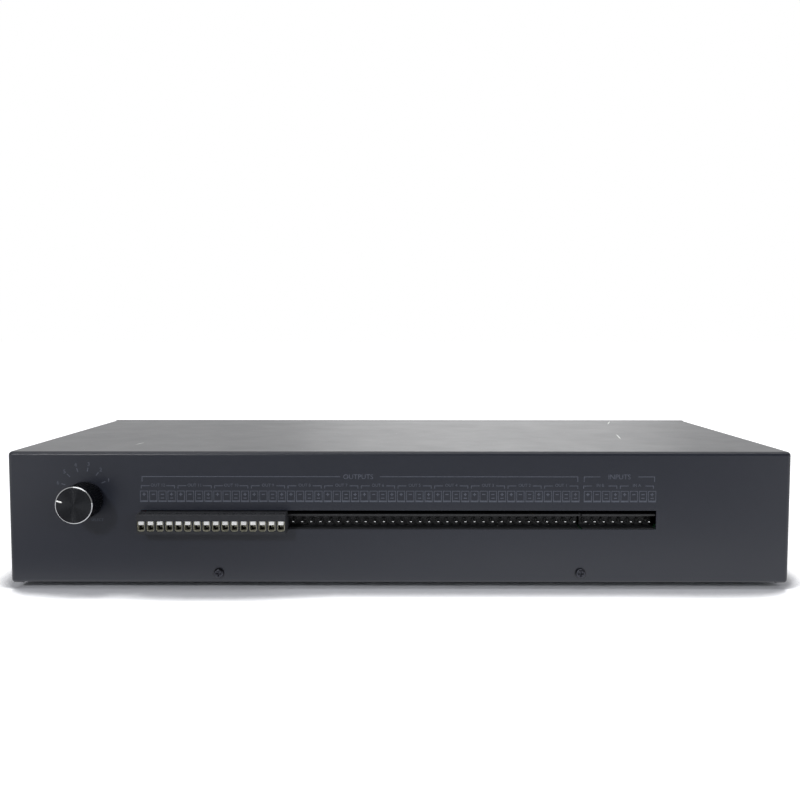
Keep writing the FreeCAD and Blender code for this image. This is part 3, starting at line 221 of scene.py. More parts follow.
def corners(node: str) -> tuple[Vector, Vector]:
    """Lowest and highest corner of a node of the frame, in millimetres."""
    low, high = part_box(node)
    return low / MM, high / MM


def middle(node: str) -> Vector:
    """Centre of a node's box, in millimetres."""
    low, high = corners(node)
    return (low + high) / 2


def pin_axis() -> float:
    """Height of the header pins' axis, half a pin below their highest face."""
    return corners("header_pins")[1].z - PIN_SIZE / 2


# --- Finishes -------------------------------------------------------------------------------------
@dataclass(frozen=True)
class Finish:
    """A surface with the drift of tone and the fine relief that every real surface has.

    Attributes:
        name: Maker's name of the finish.
        colour: Base tone, as sRGB hex.
        roughness: Middle of its roughness.
        metallic: 1 for a bare metal.
        drift: Share by which the tone moves over the surface.
        drift_size: Size of a patch of that drift.
        grain: Size of the fine relief.
        grain_depth: Height of the fine relief.
        rough_spread: How much the roughness moves over the surface.
        ior: Index of refraction; a metal keeps the shader's own.
        coat: Weight of a clear lacquer over the finish.
    """

    name: str
    colour: str
    roughness: float
    metallic: float = 0.0
    drift: float = 0.06
    drift_size: float = 20.0
    grain: float = 0.5
    grain_depth: float = 0.008
    rough_spread: float = 0.04
    ior: float = 1.5
    coat: float = 0.0

    def tone(self, tree: Tree, place: Socket) -> Socket:
        """Colour over the surface: the base tone, drifting a little darker and lighter.

        Args:
            tree: Tree of the material.
            place: Object coordinates.

        Returns:
            The colour.
        """
        cloud = noise(tree, place, self.drift_size, 3.0)
        value = remap(tree, cloud, *NOISE_RANGE, 1 - self.drift, 1 + self.drift)
        return add(tree, "ShaderNodeHueSaturation", {"Color": linear(self.colour), "Value": value})

    def polish(self, tree: Tree, place: Socket) -> Socket:
        """Roughness over the surface, moved by handling.

        Args:
            tree: Tree of the material.
            place: Object coordinates.

        Returns:
            The roughness.
        """
        smear = noise(tree, place, self.drift_size / 2, 5.0, Roughness=0.6)
        return remap(tree, smear, *NOISE_RANGE, self.roughness - self.rough_spread,
                     self.roughness + self.rough_spread)

    def relief(self, tree: Tree, place: Socket) -> Socket:
        """Normal over the surface, from its fine grain."""
        return bump(tree, noise(tree, place, self.grain), self.grain_depth)

    def metal(self, tree: Tree, place: Socket) -> object:
        """Metallic value, or the socket that gives it where only a part of the surface is bare metal."""
        return self.metallic

    def lay(self, tree: Tree, place: Socket) -> dict:
        """Shader inputs for a surface that was worked in one direction; none on a plain one."""
        return {}

    def material(self) -> Material:
        """Build the material.

        Returns:
            A new material named for the finish.
        """
        material = bpy.data.materials.new(self.name)
        material.use_nodes = True
        tree = material.node_tree
        tree.nodes.clear()
        place = add(tree, "ShaderNodeTexCoord", out="Object")
        inputs = {"Base Color": self.tone(tree, place), "Roughness": self.polish(tree, place),
                  "Normal": self.relief(tree, place), "Metallic": self.metal(tree, place),
                  "Coat Weight": self.coat}
        if not self.metallic:
            inputs["IOR"] = self.ior
        shader = add(tree, "ShaderNodeBsdfPrincipled", inputs | self.lay(tree, place))
        add(tree, "ShaderNodeOutputMaterial", {"Surface": shader})
        return material


@dataclass(frozen=True)
class Scuff:
    """A light scratch on the top of the case.

    Attributes:
        x: Middle of the scratch.
        y: Middle of the scratch.
        length: Its length.
        width: Its width.
        turn: Degrees that it is turned anticlockwise from +X.
    """

    x: float
    y: float
    length: float
    width: float
    turn: float


@dataclass(frozen=True)
class PowderCoat(Finish):
    """Satin polyester powder on steel: a fine pebble from the powder over a slow orange peel.

    Attributes:
        peel: Size of the orange peel.
        peel_depth: Height of the orange peel.
        dust_pitch: Spacing of the dust specks that lie on upward faces.
        dust_size: Radius of a speck.
        scuffs: Scratches on the top.
        scuff_colour: Tone of scratched powder.
        scuff_core: Reach, ragged by noise, up to which a scratch is whole.
        scuff_edge: Reach at which it has ended.
        ragged_size: Size of the breaks in its outline.
        level: Upward share of the normal beyond which a face is taken for the top.
    """

    peel: float = 3.0
    peel_depth: float = 0.006
    dust_pitch: float = 5.0
    dust_size: float = 0.16
    scuffs: tuple[Scuff, ...] = ()
    scuff_colour: str = "#c9cbc8"
    scuff_core: float = 1.1
    scuff_edge: float = 1.5
    ragged_size: float = 0.8
    level: float = 0.95

    def upward(self, tree: Tree) -> Socket:
        """1 where the surface faces up, and 0 elsewhere.

        Args:
            tree: Tree of the material.

        Returns:
            The mask.
        """
        normal = add(tree, "ShaderNodeTexCoord", out="Normal")
        height = add(tree, "ShaderNodeSeparateXYZ", {"Vector": normal}, out="Z")
        return calc(tree, "GREATER_THAN", height, self.level)

    def scratch(self, tree: Tree, place: Socket, scuff: Scuff, ragged: Socket) -> Socket:
        """Mask of one scratch, with ragged ends.

        Args:
            tree: Tree of the material.
            place: Object coordinates.
            scuff: The scratch.
            ragged: Noise that breaks its outline.

        Returns:
            1 inside the scratch and 0 outside.
        """
        local = add(tree, "ShaderNodeMapping", {
            "Vector": place, "Location": (scuff.x * MM, scuff.y * MM, 0),
            "Rotation": (0, 0, math.radians(scuff.turn)),
            "Scale": (scuff.length / 2 * MM, scuff.width / 2 * MM, 1)}, vector_type="TEXTURE")
        reach = vector(tree, "LENGTH", vector(tree, "MULTIPLY", local, (1, 1, 0)))
        return remap(tree, calc(tree, "ADD", reach, ragged), self.scuff_core, self.scuff_edge, 1.0, 0.0)

    def tone(self, tree: Tree, place: Socket) -> Socket:
        """Base tone with dust specks and scratches on the top.

        Args:
            tree: Tree of the material.
            place: Object coordinates.

        Returns:
            The colour.
        """
        cells = add(tree, "ShaderNodeTexVoronoi", {"Vector": place, "Scale": per(self.dust_pitch)})
        marks = calc(tree, "LESS_THAN", cells, self.dust_size / self.dust_pitch)
        ragged = noise(tree, place, self.ragged_size, 4.0)
        for scuff in self.scuffs:
            marks = calc(tree, "MAXIMUM", marks, self.scratch(tree, place, scuff, ragged))
        marks = calc(tree, "MULTIPLY", marks, self.upward(tree))
        return blend(tree, marks, super().tone(tree, place), linear(self.scuff_colour), "RGBA")

    def relief(self, tree: Tree, place: Socket) -> Socket:
        """Pebble over orange peel."""
        slow = bump(tree, noise(tree, place, self.peel, 1.0), self.peel_depth)
        return bump(tree, noise(tree, place, self.grain), self.grain_depth, slow)


@dataclass(frozen=True)
class Brushed(Finish):
    """Metal brushed along X before it was plated or anodised, which draws its gloss out across the lines.

    Attributes:
        line: Spacing of the brush lines.
        line_length: Length of a brush line.
        line_depth: Depth of a brush line.
        stretch: How far the gloss is drawn out, from 0 to 1.
        run: Direction of the brush lines, a hair off X so that sheet ends that face X have one too.
    """

    line: float = 0.25
    line_length: float = 40.0
    line_depth: float = 0.004
    stretch: float = 0.6
    run: tuple[float, float, float] = (1.0, 0.03, 0.02)

    def relief(self, tree: Tree, place: Socket) -> Socket:
        """Brush lines along X, drawn coarser than real ones so that they show.

        Args:
            tree: Tree of the material.
            place: Object coordinates.

        Returns:
            The normal.
        """
        drawn = add(tree, "ShaderNodeMapping",
                    {"Vector": place, "Scale": (self.line / self.line_length, 1, 1)})
        return bump(tree, noise(tree, drawn, self.line, 3.0), self.line_depth)

    def lay(self, tree: Tree, place: Socket) -> dict:
        """Gloss drawn out across the brush lines, whichever way the surface faces."""
        normal = add(tree, "ShaderNodeTexCoord", out="Normal")
        return {"Anisotropic": self.stretch, "Tangent": vector(tree, "CROSS_PRODUCT", normal, self.run)}


@dataclass(frozen=True)
class Turned(Finish):
    """Metal turned round an axis along Y: fine rings on its face that give a two-winged streak of light.

    Attributes:
        axis_x: Place of the axis.
        axis_z: Place of the axis.
        ring: Spacing of the turning marks.
        ring_depth: Depth of the turning marks.
        wobble: Size of the patches in which the marks waver.
        stretch: How far the gloss is drawn out, from 0 to 1.
        bare_radius: Radius beyond which the anodising was cut away, or 0 for none.
        bare_colour: Tone of the bright cut.
        bare_roughness: Roughness of the bright cut.
    """

    axis_x: float = 0.0
    axis_z: float = 0.0
    ring: float = 0.22
    ring_depth: float = 0.003
    wobble: float = 4.0
    stretch: float = 0.85
    bare_radius: float = 0.0
    bare_colour: str = "#b4b5b7"
    bare_roughness: float = 0.12

    def from_axis(self, tree: Tree, place: Socket) -> Socket:
        """Vector from the axis to the point, with nothing along Y."""
        offset = vector(tree, "SUBTRACT", place, (self.axis_x * MM, 0, self.axis_z * MM))
        return vector(tree, "MULTIPLY", offset, (1, 0, 1))

    def radius(self, tree: Tree, place: Socket) -> Socket:
        """Distance from the axis, in metres."""
        return vector(tree, "LENGTH", self.from_axis(tree, place))

    def bare(self, tree: Tree, place: Socket) -> Socket:
        """1 on the bright cut, and 0 elsewhere."""
        return calc(tree, "GREATER_THAN", self.radius(tree, place), self.bare_radius * MM)

    def tone(self, tree: Tree, place: Socket) -> Socket:
        """Anodised tone, and bare metal on the cut.

        Args:
            tree: Tree of the material.
            place: Object coordinates.

        Returns:
            The colour.
        """
        base = super().tone(tree, place)
        if not self.bare_radius:
            return base
        return blend(tree, self.bare(tree, place), base, linear(self.bare_colour), "RGBA")

    def polish(self, tree: Tree, place: Socket) -> Socket:
        """Satin on the face, and glossy on the cut.

        Args:
            tree: Tree of the material.
            place: Object coordinates.

        Returns:
            The roughness.
        """
        base = super().polish(tree, place)
        if not self.bare_radius:
            return base
        return blend(tree, self.bare(tree, place), base, self.bare_roughness)

    def metal(self, tree: Tree, place: Socket) -> object:
        """Metallic everywhere that the finish says, and on the cut.

        Args:
            tree: Tree of the material.
            place: Object coordinates.

        Returns:
            The metallic value, or its socket.
        """
        if not self.bare_radius or self.metallic:
            return self.metallic
        return self.bare(tree, place)

    def relief(self, tree: Tree, place: Socket) -> Socket:
        """Turning marks round the axis, a little uneven.

        Args:
            tree: Tree of the material.
            place: Object coordinates.

        Returns:
            The normal.
        """
        rings = calc(tree, "MULTIPLY", self.radius(tree, place), 2 * math.pi * per(self.ring))
        uneven = calc(tree, "ADD", rings, noise(tree, place, self.wobble))
        return bump(tree, calc(tree, "SINE", uneven), self.ring_depth)

    def lay(self, tree: Tree, place: Socket) -> dict:
        """Gloss drawn out across the turning marks, away from the axis."""
        return {"Anisotropic": self.stretch, "Tangent": self.from_axis(tree, place)}


@dataclass(frozen=True)
class ContactPlate(Finish):
    """Plated contacts, bright in front, with painted shade deeper in the plug: a darker, less metallic tone.

    Attributes:
        bright_to: Y from which the painted shade starts; in front of it they are bright.
        pitch: Distance between two poles, each of which has worn a little differently.
        least_bright: Brightness of the most worn pole, against the least worn.
        dull_colour: Tone of the painted shade deeper in.
        dull_metal: How metallic the painted shade is.
    """

    bright_to: float = 0.0
    pitch: float = 5.08
    least_bright: float = 0.88
    dull_colour: str = "#a5a392"
    dull_metal: float = 0.3

    # Painted shade: the contacts are darker and less metallic deeper in the plug, where shade falls.
    def deep(self, tree: Tree, place: Socket) -> Socket:
        """1 on the painted shade deeper in the plug, and 0 in front."""
        depth = add(tree, "ShaderNodeSeparateXYZ", {"Vector": place}, out="Y")
        return calc(tree, "GREATER_THAN", depth, self.bright_to * MM)

    def metal(self, tree: Tree, place: Socket) -> object:
        """Metallic in front, and less so under the painted shade."""
        return blend(tree, self.deep(tree, place), self.metallic, self.dull_metal)

    def tone(self, tree: Tree, place: Socket) -> Socket:
        """Bright in front and painted darker deeper in as shade, a little different from pole to pole.

        Args:
            tree: Tree of the material.
            place: Object coordinates.

        Returns:
            The colour.
        """
        pole = vector(tree, "FLOOR", vector(tree, "MULTIPLY", place, (per(self.pitch), 0, 0)))
        luck = add(tree, "ShaderNodeTexWhiteNoise", {"Vector": pole}, noise_dimensions="3D")
        value = remap(tree, luck, 0.0, 1.0, self.least_bright)
        bright = add(tree, "ShaderNodeHueSaturation", {"Color": super().tone(tree, place), "Value": value})
        return blend(tree, self.deep(tree, place), bright, linear(self.dull_colour), "RGBA")


@dataclass(frozen=True)
class Layered(Finish):
    """Something stacked in sheets along one axis, with the sheets' edges showing.

    Attributes:
        sheet: Thickness of one sheet.
        sheet_depth: Depth of the gap between sheets.
        gap_share: Width of the gap, against a sheet and its gap.
        along: Axis that the sheets are stacked on.
        edge_colour: Tone of the gap.
    """

    sheet: float = 0.5
    sheet_depth: float = 0.05
    gap_share: float = 0.2
    along: str = "Y"
    edge_colour: str = "#26221f"

    def gap(self, tree: Tree, place: Socket) -> Socket:
        """1 in the gap between two sheets, and 0 elsewhere.

        Args:
            tree: Tree of the material.
            place: Object coordinates.

        Returns:
            The mask.
        """
        level = add(tree, "ShaderNodeSeparateXYZ", {"Vector": place}, out=self.along)
        share = calc(tree, "FRACT", calc(tree, "MULTIPLY", level, per(self.sheet)))
        return calc(tree, "LESS_THAN", share, self.gap_share)

    def tone(self, tree: Tree, place: Socket) -> Socket:
        """Base tone with dark gaps."""
        return blend(tree, self.gap(tree, place), super().tone(tree, place), linear(self.edge_colour), "RGBA")

    def relief(self, tree: Tree, place: Socket) -> Socket:
        """Gaps sunk between the sheets."""
        return bump(tree, self.gap(tree, place), self.sheet_depth, invert=True)


@dataclass(frozen=True)
class CircuitBoard(Finish):
    """Glass-epoxy board under solder mask, with copper tracks that show through it.

    Attributes:
        track_pitch: Spacing of the tracks.
        track_gap: Gap between two tracks, against their spacing.
        track_run: Length of a track, against their spacing.
        track_colour: Tone of mask over copper.
        track_share: How clearly the copper shows through the mask.
    """

    track_pitch: float = 2.54
    track_gap: float = 0.25
    track_run: float = 7.0
    track_colour: str = "#2f6a43"
    track_share: float = 0.7

    def tone(self, tree: Tree, place: Socket) -> Socket:
        """Mask tone, lighter over the tracks.

        Args:
            tree: Tree of the material.
            place: Object coordinates.

        Returns:
            The colour.
        """
        tracks = add(tree, "ShaderNodeTexBrick", {
            "Vector": place, "Scale": 1.0, "Color1": linear(self.track_colour),
            "Color2": linear(self.track_colour), "Mortar": linear(self.colour),
            "Mortar Size": self.track_pitch * self.track_gap * MM,
            "Brick Width": self.track_pitch * self.track_run * MM, "Row Height": self.track_pitch * MM})
        return blend(tree, self.track_share, super().tone(tree, place), tracks, "RGBA")


# Satin polyester powder, charcoal with a blue cast. It is dark face on and silvers at a low angle.
CASE_SCUFFS = (Scuff(-154.6, -52.2, 12.0, 0.9, 78.0), Scuff(155.5, 84.0, 26.0, 1.1, 74.0),
               Scuff(139.8, -12.0, 30.0, 1.0, 82.0))
CASE_POWDER = PowderCoat("powder_coated_steel", "#171a23", 0.35, drift=0.03, drift_size=45.0, grain=0.35,
                         grain_depth=0.006, rough_spread=0.02, scuffs=CASE_SCUFFS)
# Aluminium plate, brushed and anodised black. Long faint lines catch the light across the plate.
FASCIA_ANODISE = Brushed("black_anodised_brushed_aluminium", "#1a1b1d", 0.36, drift=0.08, grain=0.3)
# Steel sheet, zinc plated and clear passivated. It is grey with a soft, cloudy sheen.
ZINC_SHEET = Brushed("zinc_plated_sheet_steel", "#9fa3a6", 0.38, metallic=1.0, drift=0.12, drift_size=12.0,
                     stretch=0.2)
# Steel screws, zinc plated and black passivated. They are charcoal with a dull metal gleam on their edges.
BLACK_ZINC = Finish("black_passivated_steel", "#3c3d43", 0.42, metallic=1.0, drift=0.15, drift_size=1.5,
                    grain=0.2, grain_depth=0.004)
# Steel screws, bright zinc plated.
BRIGHT_ZINC = Finish("bright_zinc_plated_steel", "#b9bcbe", 0.28, metallic=1.0, drift=0.1, drift_size=2.0)
# Moulded EPDM rubber, dull, with a fine bloom.
FOOT_RUBBER = Finish("moulded_rubber", "#1c1c1d", 0.78, drift=0.12, drift_size=3.0, grain=0.35,
                     grain_depth=0.02)
# Polyamide, moulded in a spark-eroded tool. It is black with a soft, slightly waxy sheen.
BLACK_POLYAMIDE = Finish("moulded_black_polyamide", "#17181a", 0.44, drift=0.1, drift_size=6.0, grain=0.18,
                         grain_depth=0.006, ior=1.53)
# The same polyamide on the plug, which hands have dulled to charcoal.
WORN_POLYAMIDE = Finish("handled_black_polyamide", "#202125", 0.66, drift=0.12, drift_size=4.0, grain=0.25,
                        grain_depth=0.01, ior=1.42)
# Brass, tin plated: bright, slightly soft.
TIN_PLATE = Finish("tin_plated_brass", "#dfe0de", 0.22, metallic=1.0, drift=0.06, drift_size=1.2,
                   grain=0.15, grain_depth=0.003)
# Steel strip, zinc plated and yellow passivated. The film scatters light, so it stays olive in shade.
YELLOW_ZINC = Finish("yellow_passivated_steel", "#918f80", 0.42, metallic=0.5, drift=0.25, drift_size=1.6,
                     grain=0.2, grain_depth=0.004)
# Nickel plated brass of the switch's bushing, nut and washer.
NICKEL_PLATE = Finish("nickel_plated_brass", "#b4afa4", 0.24, metallic=1.0, drift=0.05, drift_size=4.0)
# Paper laminate with phenolic resin: brown, with fibres that cloud its tone.
PHENOLIC = Finish("phenolic_paper_laminate", "#6b4426", 0.42, drift=0.2, drift_size=2.5, grain=0.4,
                  grain_depth=0.006, coat=0.2)
# Acetal rotor, off-white and waxy.
ACETAL = Finish("machined_acetal", "#d8d3c4", 0.38, drift=0.03, grain=0.4)
# Glass-epoxy board under green solder mask.
SOLDER_MASK = CircuitBoard("solder_masked_glass_epoxy", "#1d4a2e", 0.3, drift=0.05, drift_size=15.0)
# ABS switch bodies, moulded black with a fine texture.
SWITCH_ABS = Finish("moulded_black_abs", "#202123", 0.5, drift=0.05, grain=0.25, grain_depth=0.008)
# ABS buttons, moulded grey-black with a matt, finely eroded face.
BUTTON_ABS = Finish("moulded_matt_abs", "#303236", 0.52, drift=0.06, drift_size=8.0, grain=0.22,
                    grain_depth=0.012)
# Silicon steel laminations under a thin amber varnish.
LAMINATIONS = Layered("varnished_silicon_steel", "#6f6a66", 0.4, metallic=0.8, drift=0.1, coat=0.3)
# Polyester tape over the windings, wound in overlapping turns.
WINDING_TAPE = Layered("yellow_polyester_tape", "#b98f2e", 0.3, sheet=9.5, sheet_depth=0.04, along="Z",
                       edge_colour="#94701f", coat=0.4)
# PVC wire sleeving.
RED_PVC = Finish("red_pvc_sleeving", "#8c1d1a", 0.4, drift=0.06, grain=0.6)
BLACK_PVC = Finish("black_pvc_sleeving", "#1e1e20", 0.4, drift=0.06, grain=0.6)
# Epoxy screen ink, slate grey, a little broken up by the powder's texture under it.
LEGEND_INK = Finish("screen_printed_ink", "#41454f", 0.55, drift=0.18, drift_size=1.2, grain=0.35,
                    grain_depth=0.006)
# The same ink in a light grey, on the fascia, where it is read from the front.
FASCIA_INK = Finish("light_screen_printed_ink", "#a4a7ab", 0.5, drift=0.08, drift_size=1.2, grain=0.35,
                    grain_depth=0.006)
# White enamel wiped into the knob's pointer groove.
POINTER_ENAMEL = Finish("white_enamel_fill", "#f2f2f0", 0.35, drift=0.02)
# Reflowed solder round a pin.
SOLDER = Finish("reflowed_solder", "#c4c5c3", 0.2, metallic=1.0, drift=0.08, drift_size=1.0)


class Workshop:
    """Keeps one material for each finish, and puts finished pieces on their bodies."""

    def __init__(self) -> None:
        """Start with no materials made."""
        self._materials: dict[str, Material] = {}

    def material(self, finish: Finish) -> Material:
        """Return the finish's material, made at its first use.

        Args:
            finish: The finish.

        Returns:
            Its material.
        """
        if finish.name not in self._materials:
            self._materials[finish.name] = finish.material()
        return self._materials[finish.name]

    def dress(self, finish: Finish, *nodes: str) -> None:
        """Give nodes of the frame their finish.

        Args:
            finish: The finish.
            nodes: Names of the nodes.
        """
        for node in nodes:
            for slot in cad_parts[node].material_slots:
                slot.material = self.material(finish)
            LOG.info("%s: %s", node, finish.name)

    def place(self, name: str, mesh: Mesh, body: Body, finish: Finish, slot: str | None = None) -> None:
        """Make a piece of a mesh that is already in place, and put it on its body.

        Args:
            name: Name of the piece.
            mesh: Mesh in the frame's coordinates.
            body: Body that it rides on.
            finish: Its finish.
            slot: Material slot of the record that it belongs to; not used.
        """
        mesh.materials.clear()
        mesh.materials.append(self.material(finish))
        piece = bpy.data.objects.new(name, mesh)
        bpy.context.scene.collection.objects.link(piece)
        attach(piece, body.value)
        LOG.info("%s: %s, %d faces, on %s", name, finish.name, len(mesh.polygons), body.value)


def merged(meshes: list[Mesh]) -> Mesh:
    """Join meshes into one, with doubled points merged and faces turned outwards.

    Args:
        meshes: Meshes to join; they are removed.

    Returns:
        The joined mesh.
    """
    build = bmesh.new()
    for mesh in meshes:
        build.from_mesh(mesh)
        bpy.data.meshes.remove(mesh)
    bmesh.ops.remove_doubles(build, verts=build.verts, dist=SAME_POINT)
    bmesh.ops.recalc_face_normals(build, faces=build.faces)
    joined = bpy.data.meshes.new("joined")
    build.to_mesh(joined)
    build.free()
    return joined


# --- Geometry Nodes: things that repeat along a line or round an arc ------------------------------
class RepeatTree:
    """A Geometry Nodes tree with named inputs that is run to make a plain mesh."""

    KINDS = {"Count": "Int", "Sides": "Int", "Start": "Vector", "Step": "Vector", "Size": "Vector",
             "Turn": "Vector", "Centre": "Vector", "Foot": "Float", "Top": "Float", "Depth": "Float",
             "Radius": "Float", "First": "Float", "Angle": "Float", "Material": "Material"}

    def __init__(self, name: str, *labels: str) -> None:
        """Start the tree.

        Args:
            name: Name of the tree.
            labels: Its named inputs, each of a kind that KINDS says.
        """
        self.tree = bpy.data.node_groups.new(name, "GeometryNodeTree")
        self.sockets = {label: self.tree.interface.new_socket(label, in_out="INPUT",
                                                              socket_type="NodeSocket" + self.KINDS[label])
                        for label in labels}
        self.tree.interface.new_socket("Geometry", in_out="OUTPUT", socket_type="NodeSocketGeometry")
        add(self.tree, "NodeGroupInput")
        self.given = self.tree.nodes[-1].outputs

    def fed(self, kind: str, links: dict[str, str]) -> Socket:
        """Add a node that takes named inputs.

        Args:
            kind: Type of the node.
            links: For each of its sockets, the named input that feeds it.

        Returns:
            The node's first output.
        """
        return add(self.tree, kind, {socket: self.given[label] for socket, label in links.items()})

    def line(self) -> Socket:
        """Points at equal steps along a line."""
        return self.fed("GeometryNodeMeshLine",
                        {"Count": "Count", "Start Location": "Start", "Offset": "Step"})

    def close(self, points: Socket, shape: Socket, turn: Socket | None = None) -> None:
        """End the tree: the shape stands on every point as plain mesh, with its material.

        Args:
            points: Points to stand on.
            shape: What stands there.
            turn: Its turn at each point, if any.
        """
        inputs = {"Points": points, "Instance": shape}
        if turn is not None:
            inputs["Rotation"] = turn
        copies = add(self.tree, "GeometryNodeInstanceOnPoints", inputs)
        real = add(self.tree, "GeometryNodeRealizeInstances", {"Geometry": copies})
        dressed = add(self.tree, "GeometryNodeSetMaterial",
                      {"Geometry": real, "Material": self.given["Material"]})
        add(self.tree, "NodeGroupOutput", {"Geometry": dressed})

    def run(self, **values: object) -> Mesh:
        """Run the tree once.

        Args:
            values: Value of each named input.

        Returns:
            A plain mesh.
        """
        holder = bpy.data.objects.new("holder", bpy.data.meshes.new("empty"))
        bpy.context.scene.collection.objects.link(holder)
        modifier = holder.modifiers.new("repeat", "NODES")
        modifier.node_group = self.tree
        for label, value in values.items():
            modifier[self.sockets[label].identifier] = value
        evaluated = holder.evaluated_get(bpy.context.evaluated_depsgraph_get())
        mesh = bpy.data.meshes.new_from_object(evaluated)
        holder.modifiers.clear()
        bpy.data.objects.remove(holder)
        return mesh


class BarRow(RepeatTree):
    """Equal bars at equal steps along a line."""

    def __init__(self) -> None:
        """Build the tree."""
        super().__init__("bar_row", "Count", "Start", "Step", "Size", "Material")
        self.close(self.line(), self.fed("GeometryNodeMeshCube", {"Size": "Size"}))


class TurnedRow(RepeatTree):
    """Equal turned pieces, such as collars and solder joints, at equal steps along a line."""

    def __init__(self) -> None:
        """Build the tree."""
        super().__init__("turned_row", "Count", "Start", "Step", "Turn", "Foot", "Top", "Depth", "Sides",
                         "Material")
        shape = self.fed("GeometryNodeMeshCone", {"Vertices": "Sides", "Radius Bottom": "Foot",
                                                  "Radius Top": "Top", "Depth": "Depth"})
        self.close(self.line(), shape, self.given["Turn"])

    def at_pins(self, y: float, z: float, **shape: object) -> Mesh:
        """Stand one turned piece at each pin of each header.

        Args:
            y: Y of the pieces' middles.
            z: Height of the pieces' middles.
            shape: The rest of the tree's inputs.

        Returns:
            All the pieces as one mesh.
        """
        rows = []
        for header, poles in POLES.items():
            low, high = corners(header)
            pitch = (high.x - low.x) / poles
            rows.append(self.run(Count=poles, Start=Vector((low.x + pitch / 2, y, z)) * MM,
                                 Step=Vector((pitch, 0, 0)) * MM, **shape))
        return merged(rows)


class TickArc(RepeatTree):
    """Radial ticks at equal angles round a centre, in a plane across Y."""

    def __init__(self) -> None:
        """Build the tree."""
        super().__init__("tick_arc", "Count", "Centre", "Radius", "First", "Angle", "Size", "Material")
        line = self.fed("GeometryNodeMeshLine", {"Count": "Count"})
        steps = calc(self.tree, "MULTIPLY", add(self.tree, "GeometryNodeInputIndex"), self.given["Angle"])
        turned = calc(self.tree, "ADD", steps, self.given["First"])
        spoke = add(self.tree, "ShaderNodeCombineXYZ", {"X": calc(self.tree, "COSINE", turned),
                                                        "Z": calc(self.tree, "SINE", turned)})
        place = add(self.tree, "ShaderNodeVectorMath", {"Vector": spoke, "Scale": self.given["Radius"]},
                    operation="SCALE")
        place = vector(self.tree, "ADD", place, self.given["Centre"])
        points = add(self.tree, "GeometryNodeSetPosition", {"Geometry": line, "Position": place})
        turn = add(self.tree, "ShaderNodeCombineXYZ", {"Y": calc(self.tree, "MULTIPLY", turned, -1.0)})
        self.close(points, self.fed("GeometryNodeMeshCube", {"Size": "Size"}), turn)


